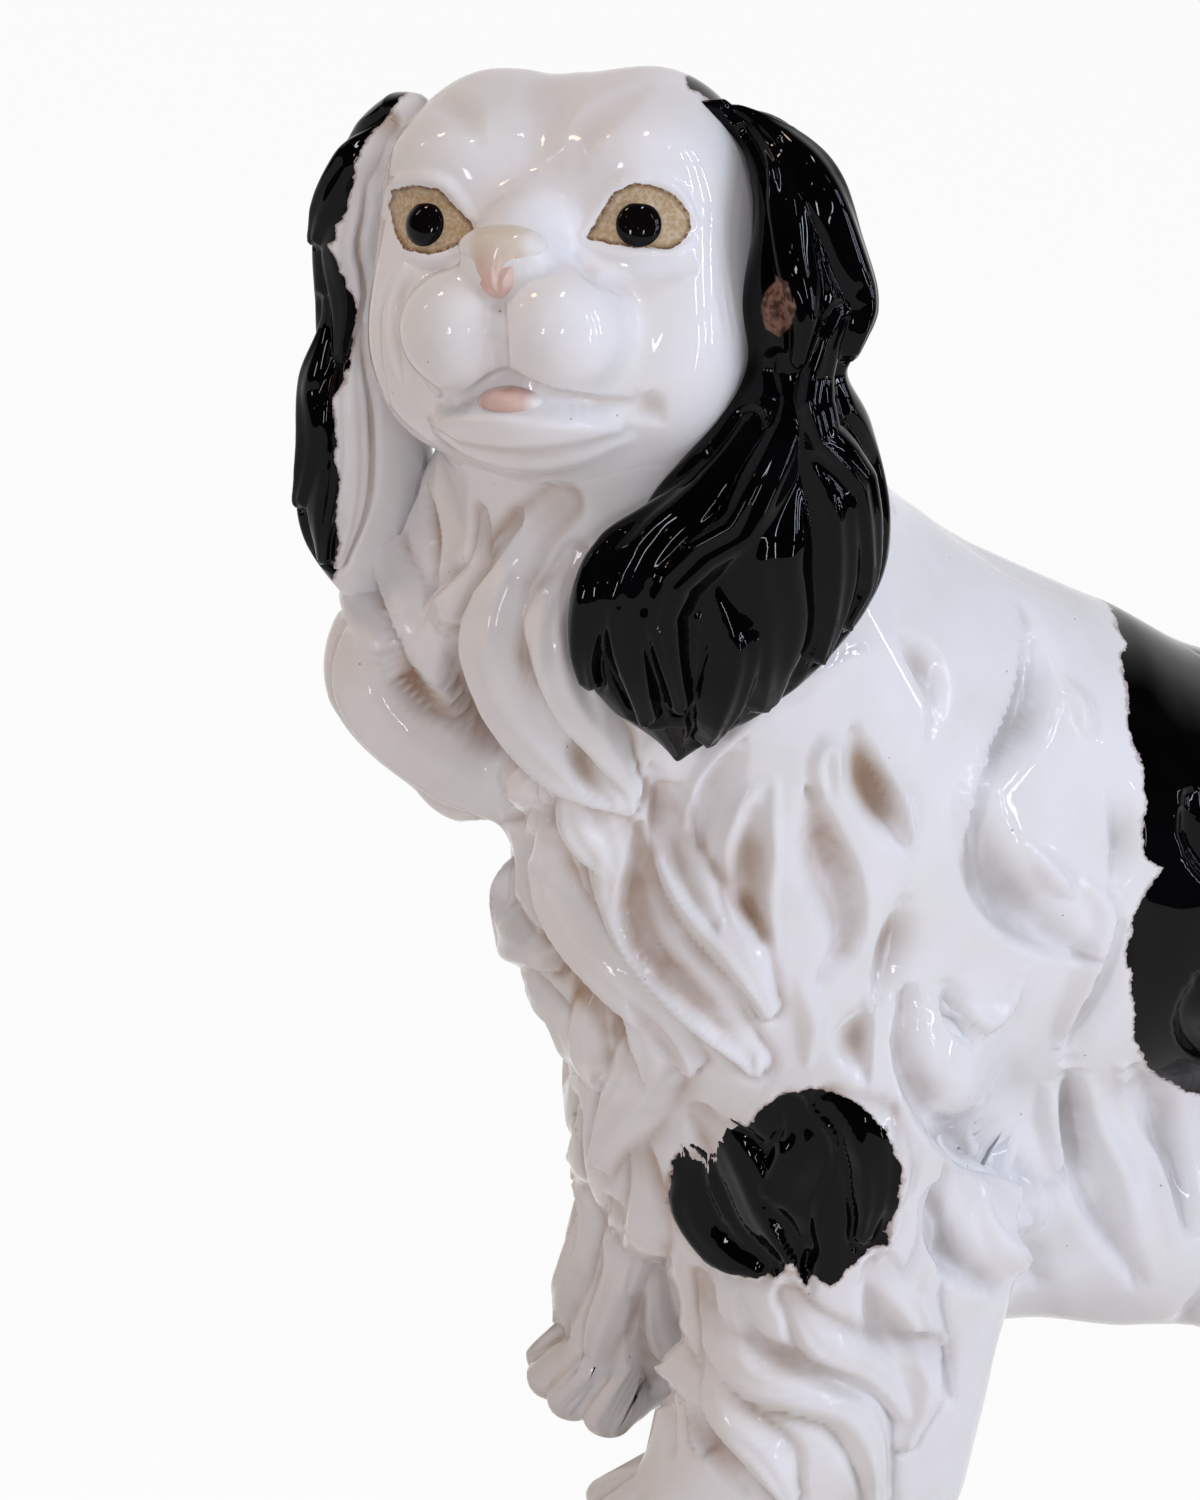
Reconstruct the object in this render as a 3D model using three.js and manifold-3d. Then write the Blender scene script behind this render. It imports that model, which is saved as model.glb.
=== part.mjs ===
// A life-size ornamental spaniel in glazed earthenware, standing, with its head turned to its left.
// It is made as potters make a figure of this size: hollow sections are slip-cast in their own
// moulds, and the legs, neck, head, ears and tail are luted on with slip before the firing.
// Millimetres. +X is the dog's left, -Y is where its body faces, +Z is up, soles at Z = 0.
import * as THREE from 'three';
import { mergeVertices } from 'three/addons/utils/BufferGeometryUtils.js';
import Module from 'manifold-3d';

const wasm = await Module();
wasm.setup();

// Casting
const wall = 5; // clay that the slip builds up in the mould
const seam = 0.3; // luting slip between two sections
const ventDiameter = 26; // pour hole under the belly
const airHoleDiameter = 8; // lets the air of each hollow section out in the kiln
const blend = 18; // roundness where two swellings of one section meet

// Build of the dog
const spineHeight = 188; // middle line of the trunk above the ground
const backLength = 162; // middle of the shoulders to middle of the hips
const shoulderY = -30;
const hipY = shoulderY + backLength;

// Trunk
const ribs = { y: shoulderY, z: spineHeight + 12, halfWidth: 62, halfLength: 80, halfHeight: 76 };
const loinY = shoulderY + backLength / 2;
const loin = { y: loinY, z: spineHeight, halfWidth: 60, halfLength: 90, halfHeight: 74 };
const rump = { y: hipY, z: spineHeight - 10, halfWidth: 62, halfLength: 72, halfHeight: 72 };
const bellyHair = { y: loin.y - 7, z: spineHeight - 88, halfWidth: 46, halfLength: 105, halfHeight: 53 };
const stifleHair = { out: 24, y: loin.y + 24, z: spineHeight - 106, radius: 29 };
const stifleHairEnd = { out: 28, y: loin.y + 74, z: spineHeight - 109, radius: 32 };
const brisket = { y: shoulderY - 15, z: spineHeight - 63, halfWidth: 52, halfLength: 60, halfHeight: 50 };
const withers = { x: -4, y: shoulderY - 18, z: spineHeight + 74, radius: 42 };
const withersRear = { x: -2, y: withers.y + 68, z: withers.z - 30, radius: 46 };

// Neck and ruff
const neckBase = { x: -2, y: shoulderY - 51, z: spineHeight + 66, radius: 63 };
const neckTop = { x: -2, y: neckBase.y - 51, z: neckBase.z + 76, radius: 50 };
const bib = { y: shoulderY - 54, z: spineHeight + 12, halfWidth: 60, halfLength: 56, halfHeight: 70 };
const breast = { x: -8, y: shoulderY - 30, z: spineHeight - 56, halfWidth: 54, halfLength: 44, halfHeight: 62 };
const rightTuftRoot = { x: -34, y: neckTop.y - 18, z: neckTop.z - 36, radius: 22 };
const rightTuftBelly = { x: -46, y: neckTop.y - 24, z: neckTop.z - 84, radius: 25 };
const rightTuftTip = { x: -28, y: neckTop.y - 18, z: neckTop.z - 108, radius: 14 };
const leftTuftRoot = { x: 12, y: neckTop.y - 13, z: neckTop.z - 50, radius: 34 };
const leftTuftTip = { x: 16, y: neckTop.y - 6, z: neckTop.z - 98, radius: 18 };

// Main locks and partings of the coat. Flank lines are [back from the shoulders, up from the spine]
// and lie on both sides; chest lines are [to the left, up from the spine], as seen from the front.
const coatSink = 2; // the skin between the locks lies this far below the swellings
const flankLock = { halfWidth: 11, height: 7 };
const flankParting = { halfWidth: 9, height: -3 };
const chestLock = { halfWidth: 12, height: 8 };
const flankLocks = [
  [[-7, 68], [-14, 52], [-11, 37], [-2, 23]],
  [[34, 36], [42, 17], [39, -8], [40, -26]],
  [[22, -30], [31, -52], [50, -71]],
  [[71, -54], [83, -78], [113, -119]],
  [[-76, 60], [-82, 47], [-78, 27], [-67, 10]],
  [[-97, 52], [-88, 30], [-75, 14], [-66, -3]],
  [[-114, 50], [-102, 24], [-94, 7], [-65, -22]],
  [[-48, 68], [-40, 55], [-26, 41]],
  [[19, -68], [14, -76], [30, -93], [64, -115]],
  [[78, 34], [84, 16], [80, -8], [86, -26]],
  [[118, 38], [127, 18], [122, -6], [128, -24]],
  [[104, -42], [116, -66], [140, -92]],
  [[158, 30], [167, 10], [161, -14]],
];
const flankPartings = [
  [[21, 94], [10, 70], [-5, 55], [-2, 37], [20, 17], [35, 3]],
  [[49, 9], [46, -10], [45, -31]],
  [[-20, -3], [-25, -16], [-12, -32], [20, -56], [49, -75]],
  [[63, -36], [82, -62], [105, -89]],
  [[51, -38], [61, -66], [82, -98]],
  [[-66, 53], [-54, 34], [-54, 10]],
  [[-42, 28], [-31, 12], [-34, -2]],
  [[98, 40], [106, 20], [102, -4], [108, -28]],
  [[138, 40], [147, 18], [142, -6], [150, -30]],
];
const chestLocks = [
  [[26, 115], [23, 97], [24, 74], [36, 52]],
  [[-53, 96], [-35, 92], [-28, 82], [-26, 74]],
  [[-60, 79], [-40, 74], [-22, 58]],
  [[-54, 76], [-42, 64], [-30, 46], [-13, 29]],
  [[22, 40], [10, 18], [20, 4], [37, -8], [43, -25]],
  [[-22, 17], [-22, 9], [-30, -6], [-23, -14]],
  [[27, -5], [37, -18], [35, -30], [18, -50], [3, -75]],
  [[-15, -11], [-10, -25], [6, -30], [-3, -49]],
  [[-44, 14], [-46, -8], [-36, -30], [-40, -52]],
];

// Head: where its middle is, and how it is turned
const headAt = { x: 5, y: neckTop.y - 31, z: neckTop.z + 44 };
const headTurn = 37.5; // degrees, to the dog's left
const headLift = 15.7; // degrees, chin up
const headTilt = 13; // degrees, left cheek up
const headBlend = 9; // roundness where two swellings of the head meet

// Swellings of the head: out to each side, up and forward from its middle
const skull = { out: 20, up: 12, forward: -6, halfWidth: 31, halfHeight: 41, halfDepth: 33 };
const forehead = { out: 0, up: 13, forward: -6, halfWidth: 30, halfHeight: 37.5, halfDepth: 31 };
const braincase = { out: 0, up: 4, forward: -20, halfWidth: 48, halfHeight: 42, halfDepth: 40 };
const cheek = { out: 27, up: -15, forward: 1, halfWidth: 24, halfHeight: 32, halfDepth: 26 };
const jaw = { out: 0, up: -27, forward: 6, halfWidth: 34, halfHeight: 24, halfDepth: 30 };
const muzzlePad = { out: 12.5, up: -18, forward: 31, halfWidth: 17.5, halfHeight: 17, halfDepth: 20 };
const muzzleBridge = { out: 0, up: 4, forward: 26, halfWidth: 12, halfHeight: 13, halfDepth: 17 };
const chin = { out: 0, up: -42, forward: 21, halfWidth: 20, halfHeight: 10, halfDepth: 19 };
const brow = { out: 23, up: 27, forward: 9, halfWidth: 19, halfHeight: 12, halfDepth: 19 };
const nose = { out: 0, up: -1, forward: 43, halfWidth: 12, halfHeight: 8, halfDepth: 9 };
const tongue = { out: 0, up: -37, forward: 41, halfWidth: 7.5, halfHeight: 3.4, halfDepth: 11 };
const eye = { out: 31, up: 9.5, forward: 28, diameter: 10.5, dome: 2.4, seat: 3 };

// Ears: stations down each flap, as left, back and up from the middle of the head
const leftEar = [
  { left: 32, back: 20, up: 45, halfWidth: 5, halfThickness: 5 },
  { left: 43, back: 34, up: 41, halfWidth: 9, halfThickness: 7 },
  { left: 48, back: 45, up: 24, halfWidth: 12, halfThickness: 9 },
  { left: 50, back: 48, up: 3, halfWidth: 14, halfThickness: 11 },
  { left: 52, back: 48, up: -25, halfWidth: 20, halfThickness: 12 },
  { left: 52, back: 39, up: -48, halfWidth: 35, halfThickness: 15 },
  { left: 51, back: 32, up: -69, halfWidth: 41, halfThickness: 16 },
  { left: 50, back: 28, up: -91, halfWidth: 34, halfThickness: 14 },
  { left: 47, back: 28, up: -118, halfWidth: 4, halfThickness: 5 },
];
const rightEar = [
  { left: -43, back: -25, up: 34, halfWidth: 7, halfThickness: 5 },
  { left: -55, back: -25, up: 18, halfWidth: 14, halfThickness: 9 },
  { left: -62, back: -24, up: -6, halfWidth: 19, halfThickness: 10 },
  { left: -62, back: -19, up: -31, halfWidth: 20, halfThickness: 9 },
  { left: -61, back: -13, up: -61, halfWidth: 26, halfThickness: 13 },
  { left: -60, back: -9, up: -89, halfWidth: 28, halfThickness: 12 },
  { left: -57, back: -5, up: -116, halfWidth: 6, halfThickness: 4 },
];
const leftEarAcross = { x: 0.19, y: 0.97, z: 0.05 }; // the way a flap spreads, front edge to rear edge
const rightEarAcross = { x: -0.3, y: 0.94, z: 0 };

// Legs: out from the middle, along the body, above the ground
const shoulder = { out: 38, y: shoulderY - 22, z: spineHeight - 38, radius: 37 };
const wrist = { out: 36, y: shoulderY - 26, z: 44, radius: 28 };
const foreHeel = { out: 34, y: shoulderY - 46, z: 16, radius: 18 };
const foreToe = { out: 33, y: shoulderY - 60, z: 11, radius: 12 };
const rightWrist = { out: 47, y: shoulderY - 16, z: 44, radius: 26 };
const rightForeHeel = { out: 47, y: shoulderY - 26, z: 16, radius: 19 };
const rightForeToe = { out: 47, y: shoulderY - 36, z: 11, radius: 12 };
const elbowHair = { out: 40, y: shoulderY + 14, z: 96, radius: 28 };
const elbowHairEnd = { out: 40, y: shoulderY + 13, z: 24, radius: 26 };
const thigh = { out: 37, y: hipY + 10, z: spineHeight - 38, radius: 42 };
const knee = { out: 39, y: hipY + 2, z: 86, radius: 36 };
const hock = { out: 39, y: hipY + 50, z: 30, radius: 24 };
const hindHeel = { out: 37, y: hipY + 54, z: 15, radius: 18 };
const hindToe = { out: 36, y: hipY + 46, z: 11, radius: 12 };
const legCoreHeight = 20; // how far above the sole the middle line of a leg's mould starts

// Tail: a plume that hangs against the rump
const tailRoot = { x: 0, y: rump.y + rump.halfLength - 12, z: spineHeight + 20, radius: 18 };
const tailMiddle = { x: 0, y: tailRoot.y + 12, z: spineHeight - 36, radius: 22 };
const tailEnd = { x: 0, y: tailRoot.y + 6, z: spineHeight - 96, radius: 13 };

// A swelling of the clay: an ellipsoid on its own axes, or a limb that tapers between two points.
const worldAxes = [new THREE.Vector3(1, 0, 0), new THREE.Vector3(0, 1, 0), new THREE.Vector3(0, 0, 1)];
const vec = (x, y, z) => new THREE.Vector3(x, y, z);
const swelling = (at, radii, axes = worldAxes) => ({ at, radii, axes });
const at = (s) => vec(s.x, s.y, s.z);
const onSide = (s, side) => ({ ...s, x: side * s.out });
const limb = (a, b) => ({ from: at(a), to: at(b), r0: a.radius, r1: b.radius });

function swellingDistance(p, s) {
  const q = p.clone().sub(s.at);
  const unit = s.axes.map((axis, i) => q.dot(axis) / s.radii[i]);
  const near = Math.hypot(...unit);
  const slope = Math.hypot(...unit.map((value, i) => value / s.radii[i])) + 1e-9;
  return (near * (near - 1)) / slope;
}

function limbDistance(p, s) {
  const along = s.to.clone().sub(s.from);
  const t = THREE.MathUtils.clamp(p.clone().sub(s.from).dot(along) / along.lengthSq(), 0, 1);
  return p.distanceTo(s.from.clone().addScaledVector(along, t)) - THREE.MathUtils.lerp(s.r0, s.r1, t);
}

// Distance to several swellings run together, rounded by the blend where they meet.
function form(swellings, roundness = blend) {
  return (p) => {
    let d = Infinity;
    for (const s of swellings) {
      const next = s.radii ? swellingDistance(p, s) : limbDistance(p, s);
      if (d === Infinity) {
        d = next;
        continue;
      }
      const h = THREE.MathUtils.clamp(0.5 + (0.5 * (next - d)) / roundness, 0, 1);
      d = next + (d - next) * h - roundness * h * (1 - h);
    }
    return d;
  };
}

// How far from start, in the given direction, the form is first at the given level.
const farthest = 240;
const firstSteps = 60;
function reach(field, start, direction, level) {
  const above = (r) => field(start.clone().addScaledVector(direction, r)) > level;
  let near = 0;
  let far = farthest;
  for (let i = 1; i <= firstSteps; i += 1) {
    far = (farthest * i) / firstSteps;
    if (above(far)) break;
    near = far;
  }
  for (let i = 0; i < 24; i += 1) {
    const middle = (near + far) / 2;
    if (above(middle)) far = middle;
    else near = middle;
  }
  return near;
}

// Where a line from outside first meets the form, or comes nearest to it.
function touch(field, start, direction) {
  const along = (r) => start.clone().addScaledVector(direction, r);
  let best = 0;
  let least = Infinity;
  for (let i = 0; i <= firstSteps && least > 0; i += 1) {
    const r = (farthest * i) / firstSteps;
    const value = field(along(r));
    if (value < least) [best, least] = [r, value];
  }
  return along(best);
}

// A lock, or with a height below zero a parting: a wavy roll that thins towards both its ends.
function roll(points, size) {
  return { ...size, points: new THREE.CatmullRomCurve3(points).getPoints(3 * points.length) };
}

// How far the skin stands out at a point: the highest lock there and the deepest parting, each with
// the round section (1 - (distance / half width)^2)^0.8, on skin that lies a little low.
function coat(rolls) {
  const segment = new THREE.Line3();
  const nearest = vec(0, 0, 0);
  return (p) => {
    let height = 0;
    let depth = 0;
    for (const { points, halfWidth, height: crest } of rolls) {
      for (let i = 1; i < points.length; i += 1) {
        segment.set(points[i - 1], points[i]);
        const share = segment.closestPointToPointParameter(p, true);
        segment.at(share, nearest);
        const thinning = Math.sqrt(Math.sin((Math.PI * (i - 1 + share)) / (points.length - 1)) + 1e-6);
        const across = p.distanceTo(nearest) / (halfWidth * thinning);
        if (across < 1) {
          const rise = crest * thinning * (1 - across ** 2) ** 0.8;
          height = Math.max(height, rise);
          depth = Math.min(depth, rise);
        }
      }
    }
    return height + depth - coatSink;
  };
}

function solid(geometry) {
  geometry.deleteAttribute('normal');
  geometry.deleteAttribute('uv');
  const merged = mergeVertices(geometry, 1e-5);
  return new wasm.Manifold(new wasm.Mesh({
    numProp: 3,
    vertProperties: new Float32Array(merged.attributes.position.array),
    triVerts: new Uint32Array(merged.index.array),
  }));
}

// The skin of a form: a sphere's points, each moved out along its own ray until it meets the form.
// The rays start on the core, a line inside the section, so a long section is followed evenly.
function skin(field, core, level, sides, rings, relief) {
  const [start, end] = core;
  const middle = start.clone().add(end).multiplyScalar(0.5);
  const half = end.clone().sub(start).multiplyScalar(0.5);
  const geometry = new THREE.SphereGeometry(1, sides, rings);
  const turn = new THREE.Quaternion();
  turn.setFromUnitVectors(vec(0, 1, 0), half.lengthSq() > 0 ? half.clone().normalize() : vec(0, 0, 1));
  const points = geometry.attributes.position;
  const direction = vec(0, 0, 0);
  for (let i = 0; i < points.count; i += 1) {
    direction.fromBufferAttribute(points, i);
    const origin = middle.clone().addScaledVector(half, direction.y);
    direction.applyQuaternion(turn).normalize();
    let distance = reach(field, origin, direction, level);
    if (relief) {
      const surface = origin.clone().addScaledVector(direction, reach(field, origin, direction, 0));
      distance += relief(surface);
    }
    const p = origin.addScaledVector(direction, distance);
    points.setXYZ(i, p.x, p.y, p.z);
  }
  return solid(geometry);
}

// A hollow section before it is fitted: the skin, the skin grown by the seam, and the cavity.
const coarser = 0.6; // a cavity's mesh, which nobody sees, against its skin's
const finerCoat = 1.6; // a skin's mesh where it carries locks, against a smooth one's
function section(swellings, core, sides, rings, relief) {
  const field = form(swellings);
  const share = relief ? coarser / finerCoat : coarser;
  const inner = relief ? -wall - coatSink : -wall;
  return {
    field,
    core,
    skin: skin(field, core, 0, sides, rings, relief),
    room: skin(field, core, seam, sides, rings, relief),
    cavity: skin(field, core, inner, Math.round(sides * share), Math.round(rings * share)),
  };
}

// A round bore through the wall of a form, square to it, where the line leaves the form.
function bore(field, from, toward, diameter, depth) {
  const direction = toward.clone().sub(from).normalize();
  const centre = from.clone().addScaledVector(direction, reach(field, from, direction, 0));
  const step = 0.5;
  const slope = worldAxes.map((axis) => (
    field(centre.clone().addScaledVector(axis, step)) - field(centre.clone().addScaledVector(axis, -step))
  ));
  const normal = vec(...slope).normalize();
  const geometry = new THREE.CylinderGeometry(diameter / 2, diameter / 2, depth, 20);
  geometry.applyQuaternion(new THREE.Quaternion().setFromUnitVectors(vec(0, 1, 0), normal));
  geometry.translate(centre.x, centre.y, centre.z);
  return { hole: solid(geometry), centre, normal };
}

const ellipsoid = (s) => swelling(vec(s.x ?? 0, s.y, s.z), [s.halfWidth, s.halfLength, s.halfHeight]);

const trunkSwellings = [
  ...[ribs, loin, rump, bellyHair, brisket].map(ellipsoid),
  limb(withers, withersRear),
  ...[1, -1].map((side) => limb(onSide(stifleHair, side), onSide(stifleHairEnd, side))),
];
const neckSwellings = [
  limb(neckBase, neckTop),
  ellipsoid(bib),
  limb(rightTuftRoot, rightTuftBelly),
  limb(rightTuftBelly, rightTuftTip),
  limb(leftTuftRoot, leftTuftTip),
  ellipsoid(breast),
];

// Coat: each line of a lock is laid on the body from the side or from the front
const body = [form(trunkSwellings), form(neckSwellings)];
const bodyField = (p) => Math.min(...body.map((field) => field(p)));
const onFlank = (side) => ([back, up]) => (
  touch(bodyField, vec(side * (farthest / 2), shoulderY + back, spineHeight + up), vec(-side, 0, 0))
);
const onChest = ([left, up]) => (
  touch(bodyField, vec(left, shoulderY - farthest, spineHeight + up), vec(0, 1, 0))
);
const relief = coat([
  ...[1, -1].flatMap((side) => flankLocks.map((line) => roll(line.map(onFlank(side)), flankLock))),
  ...[1, -1].flatMap((side) => flankPartings.map((line) => roll(line.map(onFlank(side)), flankParting))),
  ...chestLocks.map((line) => roll(line.map(onChest), chestLock)),
]);

// Trunk
const trunkLow = 20; // how far the middle line of the trunk's mould drops towards the brisket
const trunk = section(
  trunkSwellings,
  [vec(0, rump.y, rump.z), vec(0, ribs.y, ribs.z - trunkLow)],
  48,
  36,
  relief,
);

// Neck with the ruff and its two big tufts
const neck = section(
  neckSwellings,
  [at({ ...bib, x: breast.x }), at(neckBase).lerp(at(neckTop), 0.75)],
  40,
  34,
  relief,
);

// Head: across is the dog's left, up the crown, facing the nose
const turn = THREE.MathUtils.degToRad(headTurn);
const lift = THREE.MathUtils.degToRad(headLift);
const tilt = THREE.MathUtils.degToRad(headTilt);
const facing = vec(Math.sin(turn) * Math.cos(lift), -Math.cos(turn) * Math.cos(lift), Math.sin(lift));
const levelAcross = vec(0, 0, 1).cross(facing).normalize();
const levelUp = facing.clone().cross(levelAcross);
const across = levelAcross.clone().multiplyScalar(Math.cos(tilt)).addScaledVector(levelUp, Math.sin(tilt));
const crown = levelUp.clone().multiplyScalar(Math.cos(tilt)).addScaledVector(levelAcross, -Math.sin(tilt));
const headCentre = vec(headAt.x, headAt.y, headAt.z);
const onHead = (a, b, c) => (
  headCentre.clone().addScaledVector(across, a).addScaledVector(crown, b).addScaledVector(facing, c)
);
const headSwelling = (s, side = 1) => (
  swelling(onHead(side * s.out, s.up, s.forward), [s.halfWidth, s.halfHeight, s.halfDepth], [across, crown, facing])
);
const bothSides = (s) => [headSwelling(s, 1), headSwelling(s, -1)];
const headField = form([
  ...bothSides(skull),
  headSwelling(forehead),
  headSwelling(braincase),
  ...bothSides(cheek),
  headSwelling(jaw),
  ...bothSides(muzzlePad),
  headSwelling(muzzleBridge),
  headSwelling(chin),
  ...bothSides(brow),
], headBlend);
const headCore = [onHead(0, jaw.up / 4, skull.forward), onHead(0, braincase.up, skull.forward)];
const head = {
  field: headField,
  skin: skin(headField, headCore, 0, 32, 26),
  room: skin(headField, headCore, seam, 32, 26),
  cavity: skin(headField, headCore, -wall, 18, 14),
};

// Legs: side is 1 for the dog's left and -1 for its right
const halfSpaceSize = 1000;
const halfSpace = new THREE.BoxGeometry(halfSpaceSize, halfSpaceSize, halfSpaceSize);
const ground = halfSpace.clone().translate(0, 0, -halfSpaceSize / 2);
const cavityFloor = halfSpace.clone().translate(0, 0, wall - halfSpaceSize / 2);
function leg(side, stations, top) {
  const limbs = stations.map((ends) => limb(...ends.map((s) => onSide(s, side))));
  const bottom = at({ ...onSide(top.foot, side), z: legCoreHeight });
  const made = section(limbs, [bottom, at(onSide(top.joint, side))], 18, 16);
  const otherSide = solid(halfSpace.clone().translate(side * (seam / 2 - halfSpaceSize / 2), 0, 0));
  return {
    ...made,
    skin: made.skin.subtract(solid(ground.clone())).subtract(otherSide),
    cavity: made.cavity.subtract(solid(cavityFloor.clone())),
  };
}
const makeForeleg = (side, stance) => leg(
  side,
  [[shoulder, stance[0]], [stance[0], stance[1]], [stance[1], stance[2]], [elbowHair, elbowHairEnd]],
  { joint: shoulder, foot: { ...stance[0], y: (stance[0].y + elbowHair.y) / 2 } },
);
const makeHindleg = (side) => leg(
  side,
  [[thigh, knee], [knee, hock], [hindHeel, hindToe]],
  { joint: thigh, foot: hock },
);
const foreLeft = makeForeleg(1, [wrist, foreHeel, foreToe]);
const foreRight = makeForeleg(-1, [rightWrist, rightForeHeel, rightForeToe]);
const hindLeft = makeHindleg(1);
const hindRight = makeHindleg(-1);

// Tail
const plume = section(
  [limb(tailRoot, tailMiddle), limb(tailMiddle, tailEnd)],
  [at(tailEnd).lerp(at(tailMiddle), 0.2), at(tailRoot)],
  14,
  14,
);

// An ear: a leaf-shaped flap. Its section at each station is an oval as wide as the ear there, and
// it is laid square to the flap's own line.
function flap(stations, spread, sides, rings) {
  const line = new THREE.CatmullRomCurve3(stations.map((s) => (
    headCentre.clone().add(vec(s.left, s.back, s.up))
  )));
  const widths = new THREE.CatmullRomCurve3(stations.map((s) => vec(s.halfWidth, s.halfThickness, 0)));
  const geometry = new THREE.SphereGeometry(1, sides, rings);
  const points = geometry.attributes.position;
  const wide = at(spread).normalize();
  for (let i = 0; i < points.count; i += 1) {
    const [x, y, z] = [points.getX(i), points.getY(i), points.getZ(i)];
    const t = THREE.MathUtils.clamp((1 - y) / 2, 0, 1);
    const ring = Math.hypot(x, z) + 1e-9;
    const size = widths.getPoint(t);
    const end = Math.min(1, 2.2 * Math.hypot(x, z));
    const thick = line.getTangent(t).cross(wide).normalize();
    const p = line.getPoint(t);
    p.addScaledVector(wide, (x / ring) * size.x * end);
    p.addScaledVector(thick, (z / ring) * size.y * end);
    points.setXYZ(i, p.x, p.y, p.z);
  }
  return solid(geometry);
}

// Eyes: a black button set in a shallow bore in the wall of the head
const domeSteps = 4;
function makeEye(side) {
  const target = onHead(side * eye.out, eye.up, eye.forward);
  const socketDiameter = eye.diameter + 2 * seam;
  const socket = bore(headField, headCentre, target, socketDiameter, 2 * (eye.seat + seam));
  const radius = eye.diameter / 2;
  const profile = [new THREE.Vector2(0, -eye.seat), new THREE.Vector2(radius, -eye.seat)];
  for (let i = 0; i <= domeSteps; i += 1) {
    const angle = (i / domeSteps) * (Math.PI / 2);
    profile.push(new THREE.Vector2(radius * Math.cos(angle), eye.dome * Math.sin(angle)));
  }
  const button = new THREE.LatheGeometry(profile, 16);
  button.applyQuaternion(new THREE.Quaternion().setFromUnitVectors(vec(0, 1, 0), socket.normal));
  button.translate(socket.centre.x, socket.centre.y, socket.centre.z);
  return { button: solid(button), socket: socket.hole };
}
const leftButton = makeEye(1);
const rightButton = makeEye(-1);

// Nose and tongue: sprigs of clay laid on the muzzle
function sprig(s) {
  const middle = onHead(s.out, s.up, s.forward);
  return skin(form([headSwelling(s)]), [middle, middle.clone()], 0, 14, 10).subtract(head.room);
}

// Fitting: each section is cut to what it is luted on, and the fettler pares off any loose sliver
const pared = (manifold) => manifold.decompose().sort((a, b) => b.volume() - a.volume())[0];
const ventSpot = bore(trunk.field, vec(0, loin.y, loin.z), vec(0, loin.y, 0), ventDiameter, 4 * wall);
const airHole = (piece, from, toward) => bore(piece.field, from, toward, airHoleDiameter, 4 * wall).hole;
const trunkHoles = [foreLeft, foreRight, hindLeft, hindRight, plume].map((piece) => {
  const [low, high] = piece.core;
  return airHole(trunk, high, low);
});
trunkHoles.push(airHole(trunk, vec(0, ribs.y, ribs.z), neck.core[1]));
let torsoSolid = trunk.skin.subtract(trunk.cavity).subtract(ventSpot.hole);
for (const hole of trunkHoles) {
  torsoSolid = torsoSolid.subtract(hole);
}
const neckSolid = neck.skin.subtract(neck.cavity).subtract(trunk.room)
  .subtract(airHole(neck, neck.core[1], headCentre));
const headSolid = head.skin.subtract(head.cavity).subtract(neck.room)
  .subtract(leftButton.socket).subtract(rightButton.socket);
const legSolid = (piece) => piece.skin.subtract(piece.cavity).subtract(trunk.room).subtract(neck.room);
const tailSolid = plume.skin.subtract(plume.cavity).subtract(trunk.room);
const earSolid = (stations, spread) => (
  flap(stations, spread, 14, 22).subtract(head.room).subtract(neck.room).subtract(trunk.room)
);

const whiteGlaze = { color: 0xf2ece6, roughness: 0.15, metalness: 0 };
const blackGlaze = { color: 0x0c0b0d, roughness: 0.12, metalness: 0 };
const pinkGlaze = { color: 0xdcae9f, roughness: 0.3, metalness: 0 };

const statue = new THREE.Group();
function place(name, manifold, finish) {
  const mesh = pared(manifold).getMesh();
  const geometry = new THREE.BufferGeometry();
  geometry.setAttribute('position', new THREE.BufferAttribute(mesh.vertProperties, 3));
  geometry.setIndex(new THREE.BufferAttribute(mesh.triVerts, 1));
  geometry.computeVertexNormals();
  const piece = new THREE.Mesh(geometry, new THREE.MeshStandardMaterial(finish));
  piece.name = name;
  statue.add(piece);
}
place('torso', torsoSolid, whiteGlaze);
place('neck_and_ruff', neckSolid, whiteGlaze);
place('head', headSolid, whiteGlaze);
place('left_ear', earSolid(leftEar, leftEarAcross), blackGlaze);
place('right_ear', earSolid(rightEar, rightEarAcross), blackGlaze);
place('left_foreleg', legSolid(foreLeft), whiteGlaze);
place('right_foreleg', legSolid(foreRight), whiteGlaze);
place('left_hindleg', legSolid(hindLeft), whiteGlaze);
place('right_hindleg', legSolid(hindRight), whiteGlaze);
place('tail', tailSolid, blackGlaze);
place('left_eye', leftButton.button, blackGlaze);
place('right_eye', rightButton.button, blackGlaze);
place('nose', sprig(nose), pinkGlaze);
place('tongue', sprig(tongue), pinkGlaze);

// The origin is under the middle of the statue, on the surface it stands on.
const box = new THREE.Box3().setFromObject(statue);
const middle = box.getCenter(vec(0, 0, 0));
statue.position.set(-middle.x, -middle.y, -box.min.z);

export default statue;
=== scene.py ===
"""A glazed earthenware spaniel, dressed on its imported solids. Lengths are worked out in millimetres in
the statue's own frame (+X is the dog's left, -Y its front, soles at Z = 0) and put into meshes in metres."""
import bpy
import numpy as np
from mathutils import Matrix, Vector
from mathutils.bvhtree import BVHTree


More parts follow.
